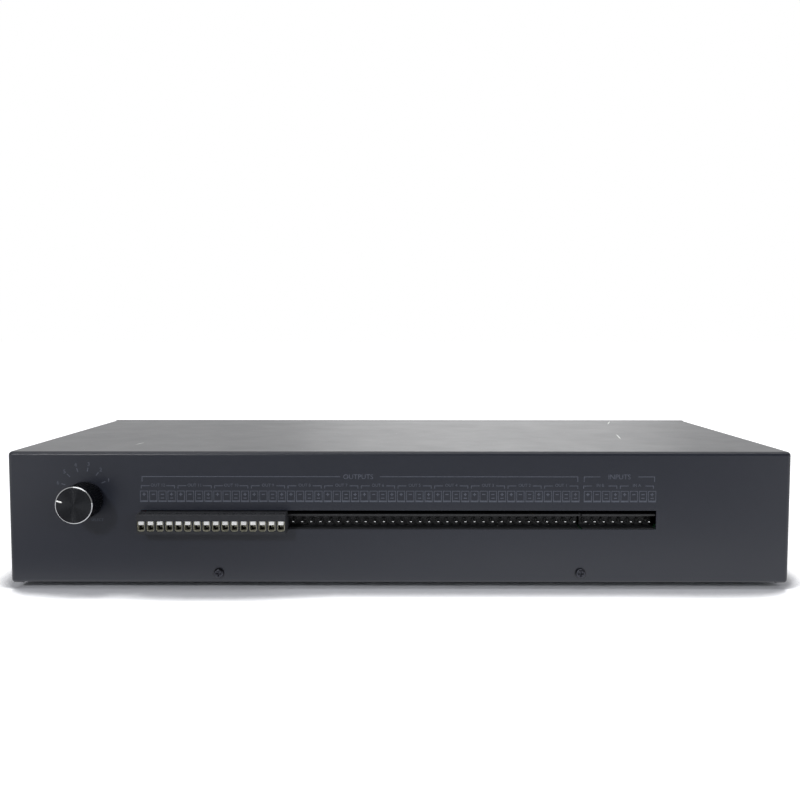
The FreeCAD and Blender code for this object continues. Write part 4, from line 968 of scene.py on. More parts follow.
class Printer:
    """Lays screen-printed bars and letters on a flat side of the case."""

    CAP_HEIGHT = 0.682      # height of a capital letter in the built-in font, as a share of its size
    CURVE_STEPS = 3         # straight lines in each curve of a letter
    SUNK = 0.2              # share of the ink's thickness that lies in the surface

    def __init__(self, facing: Facing, plane: float, ink: float, material: Material) -> None:
        """Set the side to print on.

        Args:
            facing: Side of the case.
            plane: Y of that side's surface.
            ink: Thickness of the ink.
            material: Material of the ink.
        """
        self.facing = facing
        self.outwards = -1 if facing is Facing.TERMINALS else 1
        self.plane = plane
        self.ink = ink
        self.material = material
        self.bars_tree = BarRow()
        self.ticks_tree = TickArc()
        self.prints: list[Mesh] = []

    @property
    def ink_y(self) -> float:
        """Middle of the ink's thickness."""
        return self.plane + self.outwards * self.ink * (0.5 - self.SUNK)

    def bars(self, count: int, x: float, z: float, step: float, width: float, height: float) -> None:
        """Print a row of equal bars.

        Args:
            count: How many.
            x: Middle of the first bar.
            z: Middle of the bars.
            step: Distance between two bars.
            width: Width of a bar.
            height: Height of a bar.
        """
        self.prints.append(self.bars_tree.run(
            Count=count, Start=Vector((x, self.ink_y, z)) * MM, Step=Vector((step, 0, 0)) * MM,
            Size=Vector((width, self.ink, height)) * MM, Material=self.material))

    def outlines(self, count: int, x: float, z0: float, z1: float, step: float, width: float,
                 line: float, foot: float) -> None:
        """Print a row of boxes, each with three thin sides and a thick foot.

        Args:
            count: How many.
            x: Middle of the first box.
            z0: Underside of the boxes.
            z1: Top of the boxes.
            step: Distance between two boxes.
            width: Width over the lines.
            line: Thickness of the sides and the top.
            foot: Thickness of the foot.
        """
        self.bars(count, x, z1 - line / 2, step, width, line)
        self.bars(count, x, z0 + foot / 2, step, width, foot)
        for side in (-1, 1):
            self.bars(count, x + side * (width - line) / 2, (z0 + foot + z1 - line) / 2, step, line,
                      z1 - z0 - foot - line)

    def brackets(self, count: int, x0: float, x1: float, z: float, step: float, gap: float, drop: float,
                 line: float) -> None:
        """Print a row of brackets that open downwards, each with a gap in its middle for a label.

        Args:
            count: How many.
            x0: Left end of the first bracket.
            x1: Right end of the first bracket.
            z: Top of the brackets.
            step: Distance between two brackets.
            gap: Width of the gap.
            drop: Height of the ends.
            line: Thickness of the lines.
        """
        arm = (x1 - x0 - gap) / 2
        for end, towards in ((x0, 1), (x1, -1)):
            self.bars(count, end + towards * arm / 2, z - line / 2, step, arm, line)
            self.bars(count, end + towards * line / 2, z - line / 2 - drop / 2, step, line, drop - line)

    def letters(self, text: str, x: float, z: float, height: float) -> None:
        """Print a line of text centred on a point.

        Args:
            text: What it says.
            x: Middle of the text.
            z: Middle of the text.
            height: Height of its capitals.
        """
        curve = bpy.data.curves.new("letters", "FONT")
        curve.body = text
        curve.size = height / self.CAP_HEIGHT * MM
        curve.align_x = "CENTER"
        curve.extrude = self.ink / 2 * MM
        curve.resolution_u = self.CURVE_STEPS
        holder = bpy.data.objects.new("letters", curve)
        bpy.context.scene.collection.objects.link(holder)
        evaluated = holder.evaluated_get(bpy.context.evaluated_depsgraph_get())
        mesh = bpy.data.meshes.new_from_object(evaluated)
        bpy.data.objects.remove(holder)
        stand = Matrix.Translation(Vector((x, self.ink_y, z - height / 2)) * MM) @ self.facing.value
        mesh.transform(stand)
        self.prints.append(mesh)

    def ticks(self, count: int, x: float, z: float, radius: float, first: float, step: float,
              length: float, width: float) -> None:
        """Print radial ticks round a point.

        Args:
            count: How many.
            x: Centre of the arc.
            z: Centre of the arc.
            radius: Distance of the ticks' middles from it.
            first: Angle of the first tick in degrees, anticlockwise from +X.
            step: Degrees between two ticks.
            length: Length of a tick.
            width: Width of a tick.
        """
        self.prints.append(self.ticks_tree.run(
            Count=count, Centre=Vector((x, self.ink_y, z)) * MM, Radius=radius * MM,
            First=math.radians(first), Angle=math.radians(step),
            Size=Vector((length, self.ink, width)) * MM, Material=self.material))

    def finish(self) -> Mesh:
        """Join all that was printed so far into one mesh, and start afresh.

        Returns:
            The joined mesh.
        """
        done = merged(self.prints)
        self.prints = []
        return done


# --- Case -----------------------------------------------------------------------------------------
@dataclass
class Enclosure:
    """Case shell, chassis, fascia, feet and their screws.

    Attributes:
        workshop: Where materials and pieces are made.
    """

    workshop: Workshop

    def build(self) -> None:
        """Give every part of the case its finish."""
        self.workshop.dress(CASE_POWDER, "case_shell")
        self.workshop.dress(FASCIA_ANODISE, "front_fascia")
        self.workshop.dress(ZINC_SHEET, "base_chassis")
        self.workshop.dress(BLACK_ZINC, "case_screws", "foot_screws")
        self.workshop.dress(BRIGHT_ZINC, "fascia_screws")
        self.workshop.dress(FOOT_RUBBER, "rubber_feet")


@dataclass
class TerminalLegend:
    """Print above the terminal slot: a box for each pole, a bracket for each group and two long brackets.

    Heights are above the pins' axis.

    Attributes:
        workshop: Where materials and pieces are made.
        ink: Thickness of the ink.
        line: Thickness of the bracket lines.
        box_line: Thickness of the boxes' sides.
        box_foot: Thickness of the boxes' feet.
        box_width: Width of a box.
        box_low: Underside of the boxes.
        box_high: Top of the boxes.
        box_pitch: Distance between two boxes, a hair more than the poles'.
        box_shift: First box of the speakers, from its pole.
        amplifier_shift: First box of the amplifiers, from its pole.
        group_poles: Poles in one group.
        group_shift: Left end of a group's bracket, from its first header's end.
        group_width: Width of a group's bracket.
        group_top: Top of the group brackets.
        group_gap: Gap for a group's label.
        group_drop: Height of a group bracket's ends.
        group_letters: Height of a group's label.
        group_label_rise: Middle of a group's label above its bracket's line.
        long_top: Top of the long brackets.
        long_drop: Height of a long bracket's ends.
        long_letters: Height of a long bracket's label.
        output_ends: Ends of the long bracket over the speakers, from their row's ends.
        output_gap: Gap for its label.
        output_label: Middle of that label from the middle of its bracket.
        input_ends: Ends of the long bracket over the amplifiers, from their row's ends.
        input_gap: Gap for its label.
        mark_height: Middle of the polarity marks.
        mark_size: Width of a polarity mark.
        mark_line: Thickness of a polarity mark.
        channel_height: Middle of the dash that marks a group's second channel.
    """

    workshop: Workshop
    ink: float = 0.03
    line: float = 0.4
    box_line: float = 0.32
    box_foot: float = 0.9
    box_width: float = 4.4
    box_low: float = 11.8
    box_high: float = 18.1
    box_pitch: float = 5.09
    box_shift: float = -0.8
    amplifier_shift: float = 0.2
    group_poles: int = 4
    group_shift: float = 0.1
    group_width: float = 18.8
    group_top: float = 21.1
    group_gap: float = 9.2
    group_drop: float = 1.7
    group_letters: float = 1.6
    group_label_rise: float = 0.35
    long_top: float = 26.2
    long_drop: float = 3.0
    long_letters: float = 2.6
    output_ends: tuple[float, float] = (0.6, -1.5)
    output_gap: float = 22.0
    output_label: float = -1.0
    input_ends: tuple[float, float] = (0.4, -0.9)
    input_gap: float = 21.0
    mark_height: float = 16.1
    mark_size: float = 1.8
    mark_line: float = 0.5
    channel_height: float = 14.0

    SIGNS = (True, False, False, True)      # which poles of a group are marked plus

    def build(self) -> None:
        """Print the legend and put it on the case."""
        base = pin_axis()
        face = corners("case_shell")[0].y
        press = Printer(Facing.TERMINALS, face, self.ink, self.workshop.material(LEGEND_INK))
        first, last, amplifiers = (corners(header) for header in
                                   ("speaker_header_a", "speaker_header_c", "amplifier_header"))
        speaker_row = (first[0].x, last[1].x)
        amplifier_row = (amplifiers[0].x, amplifiers[1].x)
        pole = (first[1].x - first[0].x) / POLES["speaker_header_a"]
        outputs, inputs = (round((end - start) / pole) for start, end in (speaker_row, amplifier_row))
        self.poles(press, base, outputs, speaker_row[0] + pole / 2 + self.box_shift)
        self.poles(press, base, inputs, amplifier_row[0] + pole / 2 + self.amplifier_shift)
        labels = ["OUT " + str(number) for number in range(outputs // self.group_poles, 0, -1)]
        self.groups(press, base, labels, speaker_row[0], pole * self.group_poles)
        self.groups(press, base, ["IN B", "IN A"], amplifier_row[0], pole * self.group_poles)
        for label, row, ends, gap, shift in (
                ("OUTPUTS", speaker_row, self.output_ends, self.output_gap, self.output_label),
                ("INPUTS", amplifier_row, self.input_ends, self.input_gap, 0.0)):
            self.long_bracket(press, base, label, row[0] + ends[0], row[1] + ends[1], gap, shift)
        self.workshop.place("terminal_legend", press.finish(), Body.CASE, LEGEND_INK)

    def poles(self, press: Printer, base: float, count: int, x: float) -> None:
        """Print the boxes of one row of poles, with their polarity marks.

        Args:
            press: The printer.
            base: Height of the pins' axis.
            count: Number of poles.
            x: Middle of the first box.
        """
        press.outlines(count, x, base + self.box_low, base + self.box_high, self.box_pitch, self.box_width,
                       self.box_line, self.box_foot)
        groups = count // self.group_poles
        step = self.box_pitch * self.group_poles
        for place, plus in enumerate(self.SIGNS):
            middle_x = x + place * self.box_pitch
            press.bars(groups, middle_x, base + self.mark_height, step, self.mark_size, self.mark_line)
            if plus:
                stub = (self.mark_size - self.mark_line) / 2
                for side in (-1, 1):
                    press.bars(groups, middle_x, base + self.mark_height + side * (self.mark_line + stub) / 2,
                               step, self.mark_line, stub)
            if place >= self.group_poles // 2:
                press.bars(groups, middle_x, base + self.channel_height, step, self.mark_size, self.mark_line)

    def groups(self, press: Printer, base: float, labels: list[str], x: float, step: float) -> None:
        """Print the brackets and labels of one row of groups.

        Args:
            press: The printer.
            base: Height of the pins' axis.
            labels: Labels from left to right.
            x: Left end of the row.
            step: Distance between two groups.
        """
        left = x + self.group_shift
        press.brackets(len(labels), left, left + self.group_width, base + self.group_top, step,
                       self.group_gap, self.group_drop, self.line)
        for index, label in enumerate(labels):
            middle_x = left + self.group_width / 2 + index * step
            press.letters(label, middle_x, base + self.group_top - self.line / 2 + self.group_label_rise,
                          self.group_letters)

    def long_bracket(self, press: Printer, base: float, label: str, x0: float, x1: float, gap: float,
                     shift: float) -> None:
        """Print one long bracket with its label.

        Args:
            press: The printer.
            base: Height of the pins' axis.
            label: The label.
            x0: Left end of the bracket.
            x1: Right end of the bracket.
            gap: Width of the gap for the label.
            shift: Middle of the label from the middle of the gap.
        """
        press.brackets(1, x0, x1, base + self.long_top, 0.0, gap, self.long_drop, self.line)
        press.letters(label, (x0 + x1) / 2 + shift, base + self.long_top - self.line / 2, self.long_letters)


@dataclass
class FasciaLegend:
    """Print round the buttons: a number over each output's button and letters over the input's.

    Attributes:
        workshop: Where materials and pieces are made.
        ink: Thickness of the ink.
        letters: Height of the numbers.
        rise: Middle of the numbers above a button's top.
        rule_drop: Rule under the buttons, below their undersides.
        rule: Thickness of the rule.
        rule_margin: Rule's ends beyond the outer buttons.
    """

    workshop: Workshop
    ink: float = 0.03
    letters: float = 3.2
    rise: float = 5.0
    rule_drop: float = 5.0
    rule: float = 0.5
    rule_margin: float = 4.0

    def build(self) -> None:
        """Print the legend and put it on the fascia."""
        press = Printer(Facing.BUTTONS, corners("front_fascia")[1].y, self.ink,
                        self.workshop.material(FASCIA_INK))
        rooms = sorted(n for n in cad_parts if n.startswith("room_button_"))
        for name in rooms:
            self.label(press, name, name.removeprefix("room_button_"))
        self.label(press, "amplifier_button", "A / B")
        outer = [corners(name) for name in rooms]
        x0 = min(low.x for low, _ in outer) - self.rule_margin
        x1 = max(high.x for _, high in outer) + self.rule_margin
        press.bars(1, (x0 + x1) / 2, outer[0][0].z - self.rule_drop, 0.0, x1 - x0, self.rule)
        low, high = corners("amplifier_button")
        press.bars(1, (low.x + high.x) / 2, low.z - self.rule_drop, 0.0,
                   high.x - low.x + 2 * self.rule_margin, self.rule)
        self.workshop.place("fascia_legend", press.finish(), Body.CASE, FASCIA_INK)

    def label(self, press: Printer, node: str, text: str) -> None:
        """Print one button's label above it."""
        press.letters(text, middle(node).x, corners(node)[1].z + self.rise, self.letters)


# --- Terminals ------------------------------------------------------------------------------------
@dataclass
class TerminalRow:
    """Headers, pins and the collar round each pin at the bottom of its socket.

    Attributes:
        workshop: Where materials and pieces are made.
        collar_radius: Radius of a collar.
        collar_taper: Radius of its tip, against that.
        collar_sides: Sides of a collar.
        collar_depth: How far a collar stands out of the header's back.
        back_wall: Thickness of the header's back.
    """

    workshop: Workshop
    collar_radius: float = 1.35
    collar_taper: float = 0.85
    collar_sides: int = 20
    collar_depth: float = 1.0
    back_wall: float = 2.2

    def build(self) -> None:
        """Dress the headers and pins, and add the collars."""
        self.workshop.dress(BLACK_POLYAMIDE, *POLES)
        self.workshop.dress(TIN_PLATE, "header_pins")
        back = corners("amplifier_header")[1].y - self.back_wall
        collars = TurnedRow().at_pins(
            back, pin_axis(), Turn=Vector((math.radians(90), 0, 0)), Foot=self.collar_radius * MM,
            Top=self.collar_radius * self.collar_taper * MM, Depth=self.collar_depth * MM,
            Sides=self.collar_sides, Material=self.workshop.material(BLACK_POLYAMIDE))
        self.workshop.place("pin_collars", collars, Body.CASE, BLACK_POLYAMIDE, "terminal_plastic")


@dataclass
class ScrewPlug:
    """The 16-way screw plug with its clamp screws, cages and contacts.

    Attributes:
        workshop: Where materials and pieces are made.
        bright_depth: How far behind their front the contacts are bright, before their painted shade starts.
    """

    workshop: Workshop
    bright_depth: float = 0.6

    def build(self) -> None:
        """Give every part of the plug its finish."""
        front = corners("plug_contacts")[0].y
        # Contacts with painted shade: darker and less metallic from bright_depth behind their front.
        contacts = ContactPlate("worn_tin_plated_brass_painted_shade", "#f6f6f4", 0.42, metallic=0.8, drift=0.05,
                                drift_size=1.2, grain=0.15, bright_to=front + self.bright_depth)
        self.workshop.dress(WORN_POLYAMIDE, "plug_housing")
        self.workshop.dress(BRIGHT_ZINC, "plug_clamp_screws")
        self.workshop.dress(YELLOW_ZINC, "plug_clamp_cages")
        self.workshop.dress(contacts, "plug_contacts")


# --- Dial -----------------------------------------------------------------------------------------
@dataclass
class SelectorDial:
    """Knob with its turned cap, the rotary switch behind it and the scale printed round it.

    Attributes:
        workshop: Where materials and pieces are made.
        ink: Thickness of the ink.
        positions: Positions of the dial.
        scale_x: Centre of the printed arc from the dial's axis.
        scale_z: Centre of the printed arc above the dial's axis.
        tick_radius: Middle of the ticks from the arc's centre.
        tick_length: Length of a tick.
        tick_width: Width of a tick.
        first_tick: Angle of the first tick, at the right.
        tick_step: Degrees between two ticks.
        number_radius: Middle of the numbers from the arc's centre.
        number_height: Height of the numbers.
        label_size: Height of the label, against the numbers'.
        label_drop: Label below the dial's axis.
        label_shift: Label to the right of the dial's axis.
        mark_angle: Pointer's angle at rest, anticlockwise from +X.
        mark_length: Length of the pointer from the cap's rim.
        mark_width: Width of the pointer.
        mark_depth: Depth of its groove.
        mark_fill: Share of that depth which the enamel fills.
        mark_gap: Room that the enamel leaves across the groove.
        chamfer: Width of the cap's chamfer.
        bright_edge: Width of the bright cut round the chamfer's outer edge.
    """

    workshop: Workshop
    ink: float = 0.03
    positions: int = 6
    scale_x: float = -1.1
    scale_z: float = 4.8
    tick_radius: float = 11.9
    tick_length: float = 2.2
    tick_width: float = 0.45
    first_tick: float = 23.0
    tick_step: float = 28.0
    number_radius: float = 15.0
    number_height: float = 2.1
    label_size: float = 0.7
    label_drop: float = 11.6
    label_shift: float = 6.0
    mark_angle: float = 165.0
    mark_length: float = 3.5
    mark_width: float = 0.75
    mark_depth: float = 0.25
    mark_fill: float = 0.8
    mark_gap: float = 0.02
    chamfer: float = 0.65
    bright_edge: float = 0.42

    def build(self) -> None:
        """Dress the dial and its switch, and add the scale and the pointer's enamel."""
        axis = middle("dial_cap")
        low, high = corners("dial_cap")
        radius = (high.x - low.x) / 2
        # Aluminium knob, anodised black, with a turned face and a bright chamfer cut after anodising.
        cap = Turned("black_anodised_turned_aluminium", "#323335", 0.2, metallic=1.0, drift=0.03,
                     axis_x=axis.x, axis_z=axis.z, stretch=1.0, bare_radius=radius - self.bright_edge)
        grip = Finish("black_anodised_knurled_aluminium", "#2c2e36", 0.34, metallic=1.0, drift=0.08,
                      drift_size=3.0, grain=0.2, grain_depth=0.004)
        self.workshop.dress(cap, "dial_cap")
        self.workshop.dress(grip, "dial_knob")
        self.workshop.dress(BLACK_ZINC, "knob_set_screw")
        self.workshop.dress(NICKEL_PLATE, "selector_bushing", "selector_washer", "selector_nut",
                            "selector_shaft", "detent_wheel", "detent_spring", "wafer_spacers")
        self.workshop.dress(BRIGHT_ZINC, "tie_rods", "tie_rod_nuts")
        self.workshop.dress(TIN_PLATE, "wafer_contacts")
        self.workshop.dress(PHENOLIC, "front_wafer", "rear_wafer")
        self.workshop.dress(ACETAL, "front_rotor", "rear_rotor")
        self.scale(axis)
        self.pointer(axis, low.y, radius)

    def scale(self, axis: Vector) -> None:
        """Print the ticks, numbers and label round the dial.

        Args:
            axis: Centre of the dial.
        """
        press = Printer(Facing.TERMINALS, corners("case_shell")[0].y, self.ink,
                        self.workshop.material(LEGEND_INK))
        x, z = axis.x + self.scale_x, axis.z + self.scale_z
        press.ticks(self.positions, x, z, self.tick_radius, self.first_tick, self.tick_step,
                    self.tick_length, self.tick_width)
        for number in range(self.positions):
            angle = math.radians(self.first_tick + number * self.tick_step)
            press.letters(str(number + 1), x + self.number_radius * math.cos(angle),
                          z + self.number_radius * math.sin(angle), self.number_height)
        press.letters("SELECT", axis.x + self.label_shift, axis.z - self.label_drop,
                      self.number_height * self.label_size)
        self.workshop.place("dial_scale", press.finish(), Body.CASE, LEGEND_INK)

    def pointer(self, axis: Vector, front: float, radius: float) -> None:
        """Fill the cap's pointer groove with enamel, from its floor to just below the face.

        Args:
            axis: Centre of the dial.
            front: Y of the cap's face.
            radius: Radius of the cap.
        """
        end = radius - self.chamfer
        start = radius - self.mark_length
        size = Vector((end - start, self.mark_depth * self.mark_fill, self.mark_width - self.mark_gap)) * MM
        sunk = self.mark_depth * (1 - self.mark_fill / 2)
        build = bmesh.new()
        bmesh.ops.create_cube(build, size=1.0)
        turn = Matrix.Rotation(-math.radians(self.mark_angle), 4, "Y")
        centre = Vector(((start + end) / 2, 0, 0)) * MM
        home = Matrix.Translation(Vector((axis.x, front + sunk, axis.z)) * MM)
        build.transform(home @ turn @ Matrix.Translation(centre) @ Matrix.Diagonal((*size, 1.0)))
        mesh = bpy.data.meshes.new("pointer_enamel")
        build.to_mesh(mesh)
        build.free()
        self.workshop.place("pointer_enamel", mesh, Body.DIAL, POINTER_ENAMEL)


# --- Inside ---------------------------------------------------------------------------------------
@dataclass
class Electrics:
    """Boards, looms, switches and the two matching autoformers.

    Attributes:
        workshop: Where materials and pieces are made.
        joint_radius: Radius of a solder joint at the board.
        joint_taper: Radius of its tip, against that.
        joint_height: Height of a solder joint.
        joint_sides: Sides of a solder joint.
    """

    workshop: Workshop
    joint_radius: float = 1.1
    joint_taper: float = 0.55
    joint_height: float = 1.0
    joint_sides: int = 12

    def build(self) -> None:
        """Dress everything inside, and add the solder joints."""
        self.workshop.dress(SOLDER_MASK, "terminal_board", "switch_board")
        self.workshop.dress(BRIGHT_ZINC, "board_standoffs", "board_screws", "strap_screws")
        self.workshop.dress(BLACK_PVC, "link_wires")
        self.workshop.dress(RED_PVC, "tap_wires")
        self.workshop.dress(LAMINATIONS, "left_core", "right_core")
        self.workshop.dress(WINDING_TAPE, "left_winding", "right_winding")
        self.workshop.dress(ZINC_SHEET, "core_straps")
        self.workshop.dress(SWITCH_ABS, "switch_bodies")
        self.solder_joints()

    def solder_joints(self) -> None:
        """Put a cone of solder round each pin's tail, under the terminal board."""
        under = corners("terminal_board")[0].z
        leg = corners("header_pins")[1].y - PIN_SIZE / 2
        joints = TurnedRow().at_pins(
            leg, under - self.joint_height, Turn=Vector((0, 0, 0)),
            Foot=self.joint_radius * self.joint_taper * MM, Top=self.joint_radius * MM,
            Depth=self.joint_height * MM, Sides=self.joint_sides, Material=self.workshop.material(SOLDER))
        self.workshop.place("solder_joints", joints, Body.CASE, SOLDER, "pin_tin")


@dataclass
class ButtonBank:
    """Twelve output buttons and the input button.

    Attributes:
        workshop: Where materials and pieces are made.
    """

    workshop: Workshop

    def build(self) -> None:
        """Give the buttons their finish."""
        names = [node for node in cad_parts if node.startswith("room_button_")]
        self.workshop.dress(BUTTON_ABS, "amplifier_button", *names)


# --- Studio ---------------------------------------------------------------------------------------
@dataclass(frozen=True)
class Lamp:
    """A soft lamp with a flat face.

    Attributes:
        name: Its name.
        place: Where it stands.
        target: What it points at.
        width: Its width.
        height: Its height.
        watts: Its power.
        shape: Its outline, as Blender names it.
        in_gloss: Whether glossy surfaces mirror it.
        on_matt: Whether it lights matt surfaces.
    """

    name: str
    place: tuple[float, float, float]
    target: tuple[float, float, float]
    width: float
    height: float
    watts: float
    shape: str = "RECTANGLE"
    in_gloss: bool = True
    on_matt: bool = True

    def hang(self) -> None:
        """Make the lamp."""
        light = bpy.data.lights.new(self.name, "AREA")
        light.shape = self.shape
        light.size = self.width * MM
        light.size_y = self.height * MM
        light.energy = self.watts
        lamp = bpy.data.objects.new(self.name, light)
        lamp.location = Vector(self.place) * MM
        towards = Vector(self.target) - Vector(self.place)
        lamp.rotation_euler = towards.to_track_quat("-Z", "Y").to_euler()
        lamp.visible_glossy = self.in_gloss
        lamp.visible_diffuse = self.on_matt
        bpy.context.scene.collection.objects.link(lamp)


@dataclass
class Studio:
    """Floor, surround, lamps and camera.

    Attributes:
        floor_size: Width of the floor.
        floor_colour: Tone of the floor.
        floor_lift: Light added to the open floor where a camera or a gloss sees it, to bring it to white.
        shadow_reach: How near to the object that light fades.
        shadow_dark: Share of open sky at which it is gone.
        shadow_light: Share of open sky from which it is whole.
        surround: Strength of the surround as a light.
        ahead_to: Y of a direction up to which a gloss sees the surround's front.
        behind_from: Y of a direction from which it sees the surround's back.
        front: Strength of the surround that a gloss sees straight in front of the terminals.
        back: Strength of the surround that a gloss sees behind the case.
        floor_front: Share of the floor's lift that a gloss sees far in front of the terminals.
        floor_near: Y from which the floor is as bright to a gloss as to the camera.
        floor_far: Y at which it has fallen to that share.
        floor_side: Share of the floor's lift that a gloss sees at the left.
        floor_left: X at which the floor has fallen to that share.
        floor_right: X from which it is whole.
        strip_far: Y at which the evenly bright strip along the case starts.
        strip_near: Y from which it is whole.
        open_from: How far to a side, against how far ahead, the open floor at both sides starts.
        open_to: The same where it is whole.
        open_near: Y beyond which it starts.
        open_far: Y beyond which it is whole.
        eye: Y that the share to the side is measured from.
        contact_dark: Share of open sky at which a gloss sees none of the floor's lift.
        contact_light: Share of open sky from which it sees all of it.
        lens: Focal length of the camera.
        sensor: Width of its sensor.
        clip: Nearest and farthest that it sees.
        camera: Place of the camera.
        pitch: Degrees that the camera looks up.
        yaw: Degrees that it is turned to the left.
        roll: Degrees that it is rolled.
    """

    floor_size: float = 60000.0
    floor_colour: str = "#b0b1b6"
    floor_lift: float = 1.0
    shadow_reach: float = 45.0
    shadow_dark: float = 0.63
    shadow_light: float = 0.81
    surround: float = 0.36
    ahead_to: float = -0.7
    behind_from: float = 0.3
    front: float = 0.14
    back: float = 0.94
    floor_front: float = 0.17
    floor_near: float = -150.0
    floor_far: float = -330.0
    floor_side: float = 0.12
    floor_left: float = -240.0
    floor_right: float = 120.0
    strip_far: float = -150.0
    strip_near: float = -105.0
    open_from: float = 0.37
    open_to: float = 0.46
    open_near: float = -180.0
    open_far: float = -280.0
    eye: float = 410.0
    contact_dark: float = 0.2
    contact_light: float = 0.5
    lens: float = 41.03
    sensor: float = 36.0
    clip: tuple[float, float] = (10.0, 100000.0)
    camera: tuple[float, float, float] = (-0.12, -591.74, 139.86)
    pitch: float = -3.856
    yaw: float = -0.027
    roll: float = -0.049

    KEY = ((-678.0, -1490.0, 764.0), (-60.0, -90.0, 40.0))
    LAMPS = (
        Lamp("key_lamp", *KEY, 120.0, 120.0, 17.0, in_gloss=False),
        Lamp("glint_lamp", *KEY, 400.0, 400.0, 8.0, on_matt=False),
        Lamp("fill_lamp", (1150.0, -1150.0, 450.0), (100.0, -90.0, 40.0), 1000.0, 800.0, 10.5,
             in_gloss=False),
        Lamp("top_lamp", (100.0, -450.0, 1500.0), (0.0, -50.0, 40.0), 1900.0, 500.0, 9.0),
        Lamp("rim_lamp", (200.0, 1500.0, 450.0), (0.0, 0.0, 60.0), 900.0, 250.0, 0.9, "ELLIPSE"),
    )

    def build(self) -> None:
        """Set the stage."""
        self.set_view()
        self.light_surround()
        self.lay_floor()
        for lamp in self.LAMPS:
            lamp.hang()
        LOG.info("studio: %d lamps", len(self.LAMPS))

    def set_view(self) -> None:
        """Stand the camera in front of the terminal face, a little above it."""
        data = bpy.data.cameras.new("camera")
        data.lens = self.lens
        data.sensor_width = self.sensor
        data.clip_start, data.clip_end = (limit * MM for limit in self.clip)
        camera = bpy.data.objects.new("camera", data)
        level = Matrix.Rotation(math.radians(90), 4, "X")
        turn = Matrix.Rotation(math.radians(self.yaw), 4, "Z")
        tilt = Matrix.Rotation(math.radians(self.pitch), 4, "X")
        lean = Matrix.Rotation(math.radians(self.roll), 4, "Y")
        camera.matrix_world = Matrix.Translation(Vector(self.camera) * MM) @ turn @ tilt @ lean @ level
        bpy.context.scene.collection.objects.link(camera)
        bpy.context.scene.camera = camera
        bpy.context.scene.view_settings.view_transform = "Standard"

    def reflected(self, tree: Tree) -> Socket:
        """1 for a ray that left a gloss or passed a glass, and 0 for any other."""
        ray = add(tree, "ShaderNodeLightPath").node.outputs
        return calc(tree, "MAXIMUM", ray["Is Glossy Ray"], ray["Is Transmission Ray"])

    def light_surround(self) -> None:
        """Make the surround white where it is seen, and a plain soft light elsewhere."""
        world = bpy.data.worlds.new("surround")
        bpy.context.scene.world = world
        world.use_nodes = True
        tree = world.node_tree
        tree.nodes.clear()
        towards = add(tree, "ShaderNodeSeparateXYZ", {"Vector": add(tree, "ShaderNodeTexCoord")}, out="Y")
        gloss = remap(tree, towards, self.ahead_to, self.behind_from, self.front, self.back, smooth=True)
        lit = blend(tree, self.reflected(tree), self.surround, gloss)
        seen = add(tree, "ShaderNodeLightPath", out="Is Camera Ray")
        light = add(tree, "ShaderNodeBackground", {"Color": linear("#ffffff"),
                                                   "Strength": blend(tree, seen, lit, 1.0)})
        add(tree, "ShaderNodeOutputWorld", {"Surface": light})

    def open_sides(self, tree: Tree, place: bpy.types.bpy_prop_collection) -> Socket:
        """1 where a gloss on the ends of the face sees the open floor, and 0 elsewhere.

        Args:
            tree: Tree of the floor's material.
            place: Outputs that hold the floor's X and Y.

        Returns:
            The share.
        """
        ahead = calc(tree, "SUBTRACT", self.eye * MM, place["Y"])
        slope = calc(tree, "DIVIDE", calc(tree, "ABSOLUTE", place["X"]), ahead)
        beside = remap(tree, slope, self.open_from, self.open_to, smooth=True)
        beyond = remap(tree, place["Y"], self.open_near * MM, self.open_far * MM, smooth=True)
        return calc(tree, "MULTIPLY", beside, beyond)

    def mirrored(self, tree: Tree, open_sky: Socket) -> Socket:
        """Share of the floor's lift that a gloss sees from place to place, and 0 for any other ray.

        Args:
            tree: Tree of the floor's material.
            open_sky: Share of open sky over the floor.

        Returns:
            The share.
        """
        place = add(tree, "ShaderNodeTexCoord", out="Object")
        place = add(tree, "ShaderNodeSeparateXYZ", {"Vector": place}).node.outputs
        depth = remap(tree, place["Y"], self.floor_far * MM, self.floor_near * MM, self.floor_front,
                      smooth=True)
        across = remap(tree, place["X"], self.floor_left * MM, self.floor_right * MM, self.floor_side,
                       smooth=True)
        strip = remap(tree, place["Y"], self.strip_far * MM, self.strip_near * MM, smooth=True)
        share = calc(tree, "MULTIPLY", depth, across)
        for bright in (strip, self.open_sides(tree, place)):
            share = calc(tree, "MAXIMUM", share, bright)
        for limit in (remap(tree, open_sky, self.contact_dark, self.contact_light), self.reflected(tree)):
            share = calc(tree, "MULTIPLY", share, limit)
        return share

    def lay_floor(self) -> None:
        """Lay a pale floor that keeps the object's shadow."""
        build = bmesh.new()
        bmesh.ops.create_grid(build, x_segments=1, y_segments=1, size=self.floor_size / 2 * MM)
        mesh = bpy.data.meshes.new("floor")
        build.to_mesh(mesh)
        build.free()
        floor = bpy.data.objects.new("floor", mesh)
        bpy.context.scene.collection.objects.link(floor)
        material = bpy.data.materials.new("pale_studio_floor")
        material.use_nodes = True
        tree = material.node_tree
        tree.nodes.clear()
        paint = add(tree, "ShaderNodeBsdfDiffuse", {"Color": linear(self.floor_colour)})
        open_sky = add(tree, "ShaderNodeAmbientOcclusion", {"Distance": self.shadow_reach * MM}, out="AO")
        fade = remap(tree, open_sky, self.shadow_dark, self.shadow_light, 0.0, self.floor_lift, smooth=True)
        camera = add(tree, "ShaderNodeLightPath", out="Is Camera Ray")
        lift = blend(tree, camera, self.mirrored(tree, open_sky), fade)
        glow = add(tree, "ShaderNodeEmission", {"Color": linear("#ffffff"), "Strength": lift})
        both = add(tree, "ShaderNodeAddShader", {"Shader": paint, "Shader_001": glow})
        add(tree, "ShaderNodeOutputMaterial", {"Surface": both})
        mesh.materials.append(material)


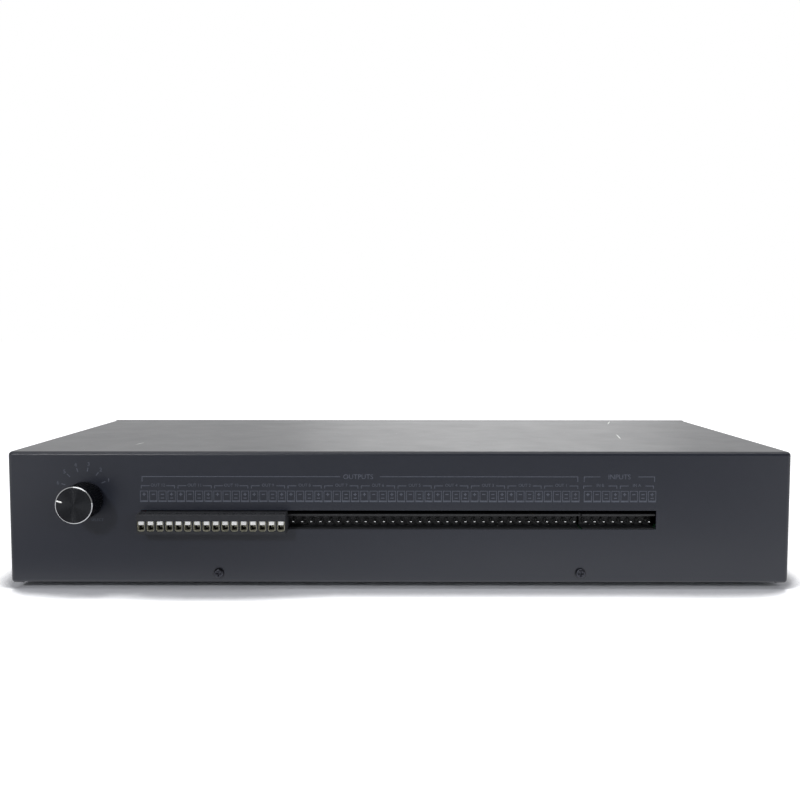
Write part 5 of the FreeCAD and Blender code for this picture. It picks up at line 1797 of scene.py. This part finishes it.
def main() -> None:
    """Build the studio and every sub-assembly."""
    logging.basicConfig(level=logging.INFO, format="%(name)s %(message)s")
    workshop = Workshop()
    Studio().build()
    for assembly in (Enclosure(workshop), TerminalLegend(workshop), FasciaLegend(workshop),
                     TerminalRow(workshop), ScrewPlug(workshop), SelectorDial(workshop),
                     Electrics(workshop), ButtonBank(workshop)):
        assembly.build()


if __name__ == "__main__":
    main()
